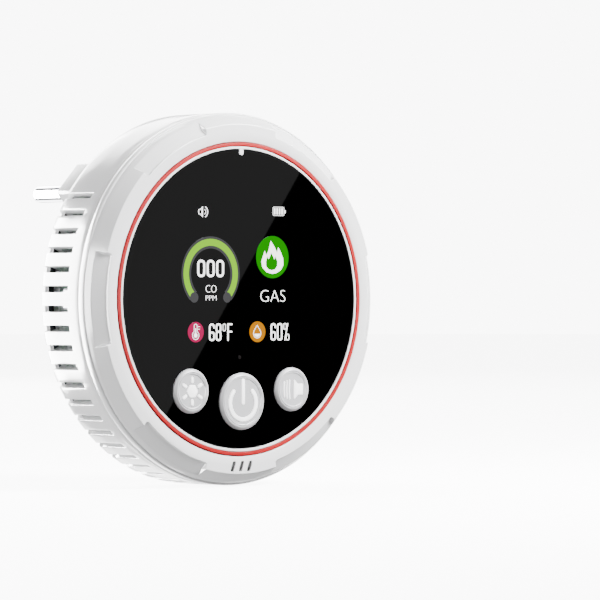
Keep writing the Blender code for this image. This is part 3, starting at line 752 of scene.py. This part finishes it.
def readout_white():
    shapes = status_signs() + small_signs()
    shapes += digits("000", -13.0, 5.0, 8.95, 2.28, 2.78, 0.52)
    shapes += digits("68", -9.55, -9.6, -5.6, 1.64, 1.96, 0.38)
    shapes += digits("F", -4.15, -9.6, -5.6, 1.5, 2.0, 0.38)
    shapes += digits("60", 8.8, -9.6, -5.6, 1.62, 1.95, 0.38)
    shapes += digits("%", 12.65, -9.6, -5.6, 1.8, 2.0, 0.2)
    shapes.append(inlay_stroke(loop_path(-5.45, -4.7, -7.3, -5.75), 0.15, closed=True))
    shapes += [
        words("CO", (-10.5, -7.4, 1.5, 3.15), -0.026),
        words("PPM", (-10.5, -7.35, -0.3, 0.78), -0.026),
        words("GAS", (5.75, 13.2, -0.62, 2.05), -0.026),
        over(rounded(WHITE_FLAME, 0.35), 2),
    ]
    return solid("readout_white", shapes)


def readout_track():
    at = GAUGE_AT
    shapes = [
        ring_part(8.0, 8.56, -45, 225, at),
        ring_part(5.8, 6.42, -45, 225, at),
    ]
    for turn in (-48, 228):
        shapes.append(over(circle(1.2, 28, polar(7.25, turn, at)), 2))
    return solid("readout_track", shapes)


def readout_arc():
    return solid("readout_arc", [ring_part(6.42, 8.0, -43, 223, GAUGE_AT, 1)])


def readout_green():
    return solid("readout_green", [inlay(circle(4.9, 64, (9.35, 9.7))), over(rounded(GREEN_DROP, 0.35), 3)])


def readout_pink():
    return solid("readout_pink", [inlay(circle(2.33, 48, (-13.45, -7.55)))])


def readout_orange():
    return solid("readout_orange", [inlay(circle(2.4, 48, (4.84, -7.56)))])


def sensor_window():
    return solid("sensor_window", [inlay(circle(0.45, 24, (-0.45, -13.4)))])


# Buttons


ICON_RISE = 0.16
ICON_D = (BUTTON_FRONT_D + 0.01, BUTTON_FRONT_D + 0.5)
SMALL_BUTTON_R = 5.1
POWER_BUTTON_R = 6.57


def button_face(at, radius):
    """A satin press button with a chamfered rim and a shallow step inside it."""
    front = BUTTON_FRONT_D
    profile = [
        (0.0, front + ICON_RISE),
        (radius - 1.3, front + ICON_RISE),
        (radius - 1.24, front + 0.06),
        (radius - 1.16, front + 0.02),
        (radius - 1.0, front + 0.02),
        (radius - 0.94, front + 0.1),
        (radius - 0.86, front + 0.1),
        (radius - 0.8, front),
        (radius - 0.6, front),
        (radius - 0.5, front + 0.05),
        (radius - 0.03, -0.2),
        (radius, -0.02),
        (radius, 2.1),
        (radius + 1.0, 2.1),
        (radius + 1.0, 2.8),
        (1.5, 2.8),
        (1.5, 5.5),
        (0.0, 5.5),
    ]
    return lathe(profile, 96, at)


def icon_part(outline, at):
    return prism([(x + at[0], y + at[1]) for x, y in outline], *ICON_D)


def icon_stroke(path, width, at):
    path = [(x + at[0], y + at[1]) for x, y in path]
    return stroke(path, width, *ICON_D)


def sun_icon(at):
    shapes = [icon_part(rounded(circle(1.6, 6), 0.5), at)]
    for i in range(6):
        shapes.append(icon_stroke([polar(2.2, 60 * i + 30), polar(2.95, 60 * i + 30)], 0.7, at))
    return shapes


def power_icon(at):
    return [
        icon_stroke(arc(3.85, 137, 403, 40, (0.0, -0.3)), 0.95, at),
        icon_stroke([(0.0, -0.3), (0.0, 2.2), (0.0, 4.75)], 0.9, at),
    ]


def volume_icon(at):
    speaker = [(0.25, 2.4), (0.25, -2.4), (1.5, -1.25), (3.0, -1.25), (3.0, 1.25), (1.5, 1.25)]
    shapes = [icon_part(rounded(speaker, 0.2), at)]
    for i, half in enumerate((2.1, 2.0, 1.7)):
        x = -1.0 - 0.8 * i
        shapes.append(icon_stroke([(x, -half), (x - 0.12, 0.0), (x, half)], 0.3, at))
    return shapes


# Body


def vent_angles():
    steps = range(VENTS // 2)
    return sorted((270.0 + side * (i + 0.5) * VENT_PITCH) % 360 for i in steps for side in (-1, 1))


def front_housing():
    """The side wall as a grid of cells, left open where the vents are."""
    front, rear = HOUSING_D
    rows = [(42.2, front), (42.5, front + 0.12), (42.75, front + 0.35), (42.93, front + 0.75)]
    rows += [(43.0, front + 1.1), (43.0, VENT_START_D), (43.0, 14.0), (43.0, rear)]
    first_open = len(rows) - 3
    half = math.degrees(VENT_WIDTH / 2 / BODY_R)
    columns, is_open = [], []
    vents = vent_angles()
    for cell in range(CELLS):
        middle = 270.0 + (cell + 0.5) * VENT_PITCH
        vent = any(abs((middle - v + 180) % 360 - 180) < 0.1 for v in vents)
        rest = VENT_PITCH - 2 * half
        columns += [middle - half, middle, middle + half] + [middle + half + rest * k / 4 for k in (1, 2, 3)]
        is_open += [vent, vent, False, False, False, False]
    bm = bmesh.new()
    outer = [[bm.verts.new((*polar(r, a), -d)) for a in columns] for r, d in rows]
    inner = [[bm.verts.new((*polar(INNER_R, a), -d)) for a in columns] for _, d in rows]
    for j in range(len(rows) - 1):
        for i in range(len(columns)):
            if is_open[i] and j >= first_open:
                continue
            k = (i + 1) % len(columns)
            bm.faces.new((outer[j][i], outer[j][k], outer[j + 1][k], outer[j + 1][i]))
            bm.faces.new((inner[j][i], inner[j + 1][i], inner[j + 1][k], inner[j][k]))
    for edge in [e for e in bm.edges if e.is_boundary]:
        low, high = edge.verts
        if low.co.xy.length < INNER_R + 0.1:
            continue
        pair = {}
        for v in (low, high):
            j = min(range(len(rows)), key=lambda n: abs(rows[n][1] + v.co.z))
            pair[v] = inner[j][outer[j].index(v)]
        bm.faces.new((low, high, pair[high], pair[low]))
    bmesh.ops.delete(bm, geom=[v for v in bm.verts if not v.link_faces], context="VERTS")
    bmesh.ops.recalc_face_normals(bm, faces=bm.faces)
    return solid("front_housing_fine", [bm], bevel=0.14, segments=3, flat=40.0)


def beside_boss(radius, keep_out, steps=64):
    """A circle round the release button, flattened where the boss cuts into it."""
    outline = []
    for x, y in circle(radius, steps):
        dx, dy = RELEASE_AT[0] + x, RELEASE_AT[1] + y - BOSS_UP
        away = max(1.0, keep_out / math.hypot(dx, dy))
        outline.append((dx * away, dy * away + BOSS_UP))
    return outline


def stadium(start, end, width, degrees, at):
    half = width / 2
    turn = math.radians(degrees)
    shape = arc(half, -90, 90, 8, (end - half, 0.0)) + arc(half, 90, 270, 8, (start + half, 0.0))
    c, s = math.cos(turn), math.sin(turn)
    return [(at[0] + c * x - s * y, at[1] + s * x + c * y) for x, y in shape]


def rear_cover():
    shell = lathe([
        (0.0, BACK_D), (35.3, BACK_D), (35.45, BACK_D - 0.04), (35.75, BACK_D - 0.3), (36.1, BACK_D - 0.38),
        (36.6, 23.75), (39.6, 21.62), (42.45, 19.5), (42.8, 19.15), (42.97, 18.8),
        (43.0, COVER_FRONT_D + 0.1), (42.9, COVER_FRONT_D), (INNER_R, COVER_FRONT_D), (34.9, FLOOR_D),
        (0.0, FLOOR_D),
    ])
    boss = lathe([
        (0.0, 22.2), (20.9, 22.2), (20.9, 23.6), (20.75, 24.3), (20.3, 24.75), (19.98, 25.5), (19.75, 26.8),
        (19.6, 28.6), (19.5, 30.6), (19.5, 32.55), (19.42, 32.8), (19.2, BOSS_TOP_D), (0.0, BOSS_TOP_D),
    ], 176, (0.0, BOSS_UP))
    dome = lathe([
        (0.0, 23.2), (13.2, 23.2), (13.2, 24.3), (12.5, 24.42), (11.9, 24.75), (11.2, 25.3), (10.4, 25.95),
        (9.5, 26.48), (8.5, 26.85), (7.4, 27.08), (5.8, 27.19), (0.0, 27.2),
    ], 144, (0.0, DOME_UP))
    pocket = lathe([
        (0.0, 22.9), (POCKET_R, 22.9), (POCKET_R, 32.75), (POCKET_R + 0.25, BOSS_TOP_D + 0.01),
        (POCKET_R + 0.25, 34.0), (0.0, 34.0),
    ], 176, (0.0, BOSS_UP))
    boss_floor_hole = prism(circle(13.2, 64, (0.0, BOSS_UP)), 20.0, 26.0)
    holes = [prism(circle(0.65, 20, (0.0, DOME_UP)), 20.0, 29.0)]
    for degrees in (45, 135, 225, 315):
        holes.append(prism(stadium(1.7, 4.1, 1.2, degrees, (0.0, DOME_UP)), 20.0, 29.0))
    for angle in vent_angles():
        half = VENT_WIDTH / 2
        vent = prism([(38.2, -half), (46.0, -half), (46.0, half), (38.2, half)], 16.0, VENT_END_D)
        holes.append(moved(vent, degrees=angle))
        for ring_r, width in PERFORATIONS:
            holes.append(prism(circle(width / 2, 14, polar(ring_r, angle)), 21.5, 26.0))
    release_hole = prism(beside_boss(RELEASE_R + 0.35, BOSS_R + 1.0), 20.0, 26.0)
    return solid(
        "rear_cover_fine",
        [shell],
        [
            ("UNION", [boss]),
            ("UNION", [dome]),
            ("DIFFERENCE", [pocket]),
            ("DIFFERENCE", [boss_floor_hole]),
            ("DIFFERENCE", holes),
            ("DIFFERENCE", [release_hole]),
        ],
        flat=28.0,
    )


def release_button():
    top = BACK_D + 0.9
    outline = beside_boss(RELEASE_R, BOSS_R + 1.35)
    return solid("release_button_fine", [prism(outline, 21.0, top)], bevel=0.35, segments=4, flat=50.0)


def release_mark():
    """A raised C on the release button."""
    top = BACK_D + 0.9
    at = (RELEASE_AT[0] + 0.3, RELEASE_AT[1] - 0.35)
    ring = stroke(arc(1.9, -60, 200, 24, at), 0.3, top - 0.2, top + 0.1)
    return solid("release_mark", [ring], bevel=0.05, segments=1, flat=50.0)


# Plug module


def hexagon(width, height, flat, up):
    return [(-width / 2, up), (-flat / 2, up - height / 2), (flat / 2, up - height / 2),
            (width / 2, up), (flat / 2, up + height / 2), (-flat / 2, up + height / 2)]


def plug_carrier():
    disc = lathe([
        (0.0, BOSS_TOP_D), (15.72, BOSS_TOP_D), (15.9, BOSS_TOP_D - 0.07), (DISC_R, BOSS_TOP_D - 0.25),
        (DISC_R, 31.8), (17.7, 31.8), (17.7, 31.0), (16.2, 31.0), (16.2, 27.5), (14.6, 27.5), (14.6, 30.2),
        (0.0, 30.2),
    ], 176, (0.0, BOSS_UP))
    block = prism(rounded(hexagon(35.3, 13.7, 22.7, PLUG_UP), 0.9, 6), BOSS_TOP_D - 0.8, PLUG_FACE_D)
    holes = [prism(circle(2.3, 40, (side * PIN_X, PLUG_UP)), 29.0, PLUG_FACE_D + 1.0) for side in (-1, 1)]
    body = solid("plug_block_fine", [block], [("DIFFERENCE", holes)], bevel=0.35, segments=4, flat=50.0)
    base = solid("plug_carrier_fine", [disc], flat=30.0)
    return body, base


def plug_marks():
    """Hollow words and arrows round the lower edge of the disc, read from behind."""
    shapes = []
    letter_box = (-0.8, 0.8, -WORD_HEIGHT / 2, WORD_HEIGHT / 2)
    for word, start, step in (("OPEN", 222.0, -11.0), ("LOCK", -11.5, -10.0)):
        for i, letter in enumerate(word):
            seen = start + step * i
            glyph = lettering(letter, letter_box, BOSS_TOP_D - 0.1, BOSS_TOP_D + 0.1, outline=0.045)
            moved(glyph, degrees=seen - 90.0)
            moved(glyph, polar(WORD_R, seen))
            shapes.append(glyph)
    for base, tip in ((226.5, 243.0), (-46.0, -61.5)):
        corners = [polar(12.5, base), polar(14.9, base), polar(14.2, tip)]
        path = []
        for i, corner in enumerate(corners):
            after = corners[(i + 1) % 3]
            path += [tuple(Vector(corner).lerp(Vector(after), k / 6)) for k in range(6)]
        shapes.append(stroke(path, 0.2, BOSS_TOP_D - 0.1, BOSS_TOP_D + 0.1, closed=True))
    for shape in shapes:
        bmesh.ops.scale(shape, vec=(-1, 1, 1), verts=shape.verts)
        bmesh.ops.reverse_faces(shape, faces=shape.faces)
        moved(shape, (0.0, BOSS_UP))
    return solid("plug_marks", shapes, flat=60.0)


def plug_pin(name, x):
    """A pin with a round nose, a ring groove near the plug's face and a head inside the block."""
    turns = [i * math.pi / 20 for i in range(11)]
    nose = [(PIN_R * math.sin(a), PIN_TIP_D - PIN_R * (1 - math.cos(a))) for a in turns]
    profile = nose + [
        (PIN_R, 52.1), (PIN_R - 0.1, 52.0), (PIN_R - 0.15, 51.9), (PIN_R - 0.15, 51.5),
        (PIN_R - 0.1, 51.4), (PIN_R, 51.3), (PIN_R, 29.9), (PIN_R + 1.0, 29.9), (PIN_R + 1.0, 29.3),
        (1.5, 29.3), (1.5, 27.3), (0.0, 27.3),
    ]
    return solid(name, [lathe(profile, 64, (x, PLUG_UP))], flat=40.0)


# Finishes of the CAD nodes that stay


def inner_materials():
    green = Surface("circuit_board_looks").colour((0.02, 0.16, 0.07), (0.03, 0.22, 0.1), 1.6)
    green.roughness(0.35, 0.5, 1.0).relief(0.6, 0.2, 0.02)
    foil = Surface("battery_foil_looks").colour((0.62, 0.63, 0.66), (0.5, 0.52, 0.56), 4.0)
    foil.roughness(0.25, 0.45, 2.0).relief(1.5, 0.4, 0.05).set(Metallic=0.8)
    black = moulded("black_plastic_looks", (0.02, 0.02, 0.022), (0.03, 0.03, 0.032), (0.4, 0.55))
    sleeve = moulded("capacitor_sleeve_looks", (0.04, 0.06, 0.2), (0.06, 0.08, 0.26), (0.3, 0.4))
    return {
        "black_plastic": black,
        "lcd_cell": moulded("lcd_cell_looks", (0.02, 0.022, 0.03), (0.03, 0.03, 0.04), (0.1, 0.2)),
        "sheet_steel": metal("sheet_steel_looks", (0.7, 0.7, 0.72), (0.6, 0.6, 0.62), (0.25, 0.4)),
        "flex_film": moulded("flex_film_looks", (0.7, 0.35, 0.08), (0.6, 0.28, 0.06), (0.35, 0.5)),
        "circuit_board": green.material,
        "steel_screw": metal("steel_screw_looks", (0.72, 0.72, 0.75), (0.6, 0.6, 0.64), (0.2, 0.35), 0.8),
        "white_plastic": moulded("white_plastic_looks", (0.8, 0.8, 0.79), (0.74, 0.74, 0.73), (0.35, 0.5)),
        "battery_foil": foil.material,
        "sensor_can": metal("sensor_can_looks", (0.74, 0.75, 0.77), (0.6, 0.62, 0.66), (0.2, 0.35), 1.0),
        "transformer_tape": moulded("transformer_tape_looks", (0.6, 0.5, 0.1), (0.5, 0.4, 0.06), (0.4, 0.55)),
        "capacitor_sleeve": sleeve,
        "fuse_ceramic": moulded("fuse_ceramic_looks", (0.8, 0.8, 0.75), (0.7, 0.7, 0.64), (0.25, 0.4)),
        "brass_contact": metal("brass_contact_looks", (0.8, 0.6, 0.28), (0.7, 0.5, 0.2), (0.2, 0.35), 1.0),
    }


def dress_inner_nodes():
    looks = inner_materials()
    for entry in frame["record"]["materials"]:
        for node in entry.get("nodes", []):
            obj = frame["nodes"][node]
            if entry["slot"] in looks and not obj.hide_render:
                obj.data.materials.clear()
                obj.data.materials.append(looks[entry["slot"]])


# Stage


WORLD_LEVEL = 0.4
BACKDROP_LEVEL = 9.0
CARD_AWAY = 1.6
DARK_CARD_AWAY = 0.5
SHEEN_CARD_AWAY = 0.48
SHEEN_EDGE = ((17.95, 29.8), (-22.4, -26.7))


def world_light():
    """Soft grey surroundings for the lighting, and a white backdrop for the camera."""
    world = bpy.data.worlds.new("studio")
    bpy.context.scene.world = world
    world.use_nodes = True
    tree = world.node_tree
    tree.nodes.clear()
    studio = tree.nodes.new("ShaderNodeBackground")
    studio.inputs["Strength"].default_value = WORLD_LEVEL
    studio.inputs["Color"].default_value = (1.0, 1.0, 1.0, 1)
    backdrop = tree.nodes.new("ShaderNodeBackground")
    backdrop.inputs["Color"].default_value = (1.0, 1.0, 1.0, 1)
    backdrop.inputs["Strength"].default_value = BACKDROP_LEVEL
    path = tree.nodes.new("ShaderNodeLightPath")
    mix = tree.nodes.new("ShaderNodeMixShader")
    out = tree.nodes.new("ShaderNodeOutputWorld")
    links = tree.links
    links.new(path.outputs["Is Camera Ray"], mix.inputs["Fac"])
    links.new(studio.outputs[0], mix.inputs[1])
    links.new(backdrop.outputs[0], mix.inputs[2])
    links.new(mix.outputs[0], out.inputs["Surface"])


def floor():
    """A pale floor that is bright to the camera and throws no light on the object."""
    bm = bmesh.new()
    bmesh.ops.create_circle(bm, cap_ends=True, segments=96, radius=4.0)
    mesh = bpy.data.meshes.new("floor")
    bm.to_mesh(mesh)
    bm.free()
    obj = bpy.data.objects.new("floor", mesh)
    obj.location = (0.0, 0.0, CAD_BOX[0].z - 0.0002)
    bpy.context.scene.collection.objects.link(obj)
    surface = Surface("floor_looks").colour((0.93, 0.93, 0.93), (0.9, 0.9, 0.9), 400.0)
    surface.roughness(0.8, 0.9, 200.0)
    surface.set(Emission_Color=(1, 1, 1, 1), Emission_Strength=BACKDROP_LEVEL * 0.85)
    mesh.materials.append(surface.material)
    obj.visible_diffuse = False
    obj.visible_glossy = False
    obj.visible_shadow = False


def direction(azimuth, elevation):
    """The unit vector from the body towards a light, with angles given like a camera's."""
    a, e = math.radians(azimuth), math.radians(elevation)
    return Vector((math.sin(a) * math.cos(e), -math.cos(a) * math.cos(e), math.sin(e)))


def area_light(name, azimuth, elevation, away, size, power):
    """A softbox that looks at the body from a direction given like a camera's."""
    data = bpy.data.lights.new(name, "AREA")
    data.shape = "RECTANGLE"
    data.size, data.size_y = size
    data.energy = power
    obj = bpy.data.objects.new(name, data)
    back = direction(azimuth, elevation)
    obj.location = FACE + back * away
    obj.rotation_euler = back.to_track_quat("Z", "Y").to_euler()
    bpy.context.scene.collection.objects.link(obj)


def card(name, corners, brightness):
    """A studio card that shows only in reflections."""
    bm = bmesh.new()
    bm.faces.new([bm.verts.new(c) for c in corners])
    mesh = bpy.data.meshes.new(name)
    bm.to_mesh(mesh)
    bm.free()
    obj = bpy.data.objects.new(name, mesh)
    bpy.context.scene.collection.objects.link(obj)
    surface = Surface(name + "_looks").colour((0.0, 0.0, 0.0), (0.002, 0.002, 0.002), 50.0)
    surface.set(Emission_Color=(1, 1, 1, 1), Emission_Strength=brightness, Roughness=1.0)
    surface.set(Specular_IOR_Level=0.0)
    mesh.materials.append(surface.material)
    obj.visible_camera = False
    obj.visible_diffuse = False
    obj.visible_shadow = False
    obj.visible_transmission = False


def camera_place():
    a = math.radians(AZIMUTH)
    toward = Vector((-math.sin(a), math.cos(a), 0.0))
    right = Vector((math.cos(a), math.sin(a), 0.0))
    aim = FACE + right * AIM_RIGHT - Vector((0, 0, AIM_DOWN))
    return aim - toward * CAMERA_AWAY, toward


def camera():
    place, toward = camera_place()
    data = bpy.data.cameras.new("camera")
    data.lens = LENS_MM
    data.sensor_width = SENSOR_MM
    obj = bpy.data.objects.new("camera", data)
    obj.location = place
    obj.rotation_euler = toward.to_track_quat("-Z", "Y").to_euler()
    bpy.context.scene.collection.objects.link(obj)
    bpy.context.scene.camera = obj


def glass_cards():
    """A dark card, and in front of it a brighter one with a slanted edge, for the sheen on the glass."""
    place, _ = camera_place()
    mirrored = Vector((place.x, 2 * FACE.y - place.y, place.z))

    def seen_at(x, up, away):
        """The point, away metres in front of the glass, that mirrors at x, up of the front view."""
        spot = TO_WORLD @ Vector((x, up, 0.0))
        ray = spot - mirrored
        return mirrored + ray * ((FACE.y - away - mirrored.y) / ray.y)

    corners = ((-60, -60), (60, -60), (60, 60), (-60, 60))
    dark = [seen_at(x, up, DARK_CARD_AWAY) for x, up in corners]
    card("dark_card", dark, 0.0)
    slope = Vector(SHEEN_EDGE[0]) - Vector(SHEEN_EDGE[1])
    top = Vector(SHEEN_EDGE[0]) + slope * 0.3
    low = Vector(SHEEN_EDGE[1]) - slope * 0.3
    light = [top, (-60.0, top.y), (-60.0, low.y), low]
    card("sheen_card", [seen_at(x, up, SHEEN_CARD_AWAY) for x, up in light], 0.45)


def softbox_cards():
    """Bright panels that show only as reflections in the glossy plastic."""
    for name, azimuth, elevation, spread, brightness in (
        ("left_softbox", -140, 0, (35, 24), 100.0),
        ("back_upper_softbox", 152, 26, (24, 11), 16.0),
        ("back_lower_softbox", 152, -26, (24, 11), 9.0),
        ("side_softbox", -85, 4, (16, 20), 50.0),
    ):
        corners = []
        for turn, rise in ((-1, -1), (1, -1), (1, 1), (-1, 1)):
            back = direction(azimuth + turn * spread[0], elevation + rise * spread[1])
            corners.append(FACE + back * CARD_AWAY)
        card(name, corners, brightness)


def build():
    white = moulded("white_shell_looks", (0.86, 0.86, 0.865), (0.83, 0.83, 0.84), (0.14, 0.2))
    red = (
        Surface("accent_red_looks")
        .colour((0.36, 0.006, 0.009), (0.31, 0.005, 0.008), 6.0)
        .roughness(0.4, 0.5, 2.0)
        .relief(0.5, 0.06, 0.01)
        .set(IOR=1.25)
        .material
    )
    silver = (
        Surface("button_silver_looks")
        .colour((0.56, 0.56, 0.57), (0.49, 0.49, 0.51), 3.0)
        .roughness(0.28, 0.38, 1.0)
        .relief(0.25, 0.12, 0.01)
        .set(Metallic=0.15)
        .material
    )
    # The icons carry a painted glow: a white emission that makes them read whiter than the light on them
    # would.
    icon_painted_glow = (
        Surface("icon_white_looks")
        .colour((0.92, 0.92, 0.92), (0.88, 0.88, 0.89), 3.0)
        .roughness(0.3, 0.4, 1.0)
        .relief(0.3, 0.08, 0.01)
        .set(Emission_Color=(1.0, 1.0, 1.0, 1.0), Emission_Strength=1.6)
        .material
    )
    chrome = metal("chrome_pin_looks", (0.86, 0.87, 0.9), (0.78, 0.79, 0.82), (0.05, 0.12), 3.0, 0.02)

    placed(bezel_ring(), "housing", "white_shell", white, "bezel_ring")
    placed(accent_ring(), "housing", "accent_red", red, "accent_ring")
    placed(trim_ring(), "housing", "white_shell", white, "trim_ring")
    buttons = {
        "brightness": ("brightness_button", SMALL_BUTTON_R, sun_icon),
        "power": ("power_button", POWER_BUTTON_R, power_icon),
        "volume": ("volume_button", SMALL_BUTTON_R, volume_icon),
    }
    spots = [(*middle_of(node), radius) for node, radius, _ in buttons.values()]
    placed(display_lens(spots), "housing", "display_glass", glass_black(), "display_lens")
    for name, (node, radius, icon) in buttons.items():
        at = middle_of(node)
        face = solid(node + "_fine", [button_face(at, radius)], flat=20.0)
        placed(face, node, "button_silver", silver, node)
        mark = solid(name + "_icon", icon(at), bevel=0.07, segments=2, flat=50.0)
        placed(mark, node, "button_silver", icon_painted_glow)
    lit = (
        (readout_track, (0.085, 0.085, 0.09), 1.0),
        (readout_arc, (0.36, 0.95, 0.0), 1.1),
        (readout_green, (0.0, 0.42, 0.0), 1.0),
        (readout_pink, (0.8, 0.0, 0.14), 0.9),
        (readout_orange, (0.95, 0.34, 0.0), 0.95),
        (readout_white, (1.0, 1.0, 1.0), 4.0),
        (sensor_window, (0.02, 0.02, 0.022), 1.0),
    )
    for shape, colour, strength in lit:
        obj = shape()
        placed(obj, "housing", "display_glass", readout(obj.name + "_looks", colour, strength))
    placed(front_housing(), "housing", "white_shell", white, "front_housing")
    placed(rear_cover(), "housing", "white_shell", white, "rear_cover")
    # Flat black for the vent sheet and the slot blocks, both painted shade.
    painted_shade_black = moulded("mesh_black_looks", (0.012, 0.012, 0.013), (0.02, 0.02, 0.021), (0.6, 0.8), 0.4, 0.5)
    placed(vent_shade_sheet(), "housing", "black_plastic", painted_shade_black)
    placed(slot_shade_fill(), "housing", "black_plastic", painted_shade_black)
    placed(release_button(), "release_button", "white_shell", white, "release_button")
    placed(release_mark(), "release_button", "white_shell", white)
    block, disc = plug_carrier()
    placed(disc, "plug_module", "white_shell", white, "plug_carrier")
    placed(block, "plug_module", "white_shell", white)
    # The raised words and arrows are white plastic; their darker grey is painted shade for the shade along
    # their relief.
    grey = moulded("marks_painted_shade_looks", (0.3, 0.3, 0.31), (0.26, 0.26, 0.27), (0.3, 0.4))
    placed(plug_marks(), "plug_module", "white_shell", grey)
    placed(plug_pin("plug_pin_left_fine", -PIN_X), "plug_module", "chrome_pin", chrome, "plug_pin_left")
    placed(plug_pin("plug_pin_right_fine", PIN_X), "plug_module", "chrome_pin", chrome, "plug_pin_right")
    dress_inner_nodes()

    world_light()
    floor()
    camera()
    glass_cards()
    softbox_cards()
    area_light("front_fill", 40, 36, 0.33, (0.2, 0.2), 6.4)
    area_light("left_fill", -100, -22, 1.2, (0.5, 0.4), 14.0)
    area_light("back_fill", 168, 12, 1.2, (0.6, 0.6), 14.0)
    area_light("top_light", 165, 62, 1.0, (0.4, 0.4), 8.0)
    area_light("low_light", 165, -55, 1.0, (0.4, 0.4), 6.0)
    area_light("right_fill", 92, 0, 1.2, (0.5, 0.4), 8.0)


build()
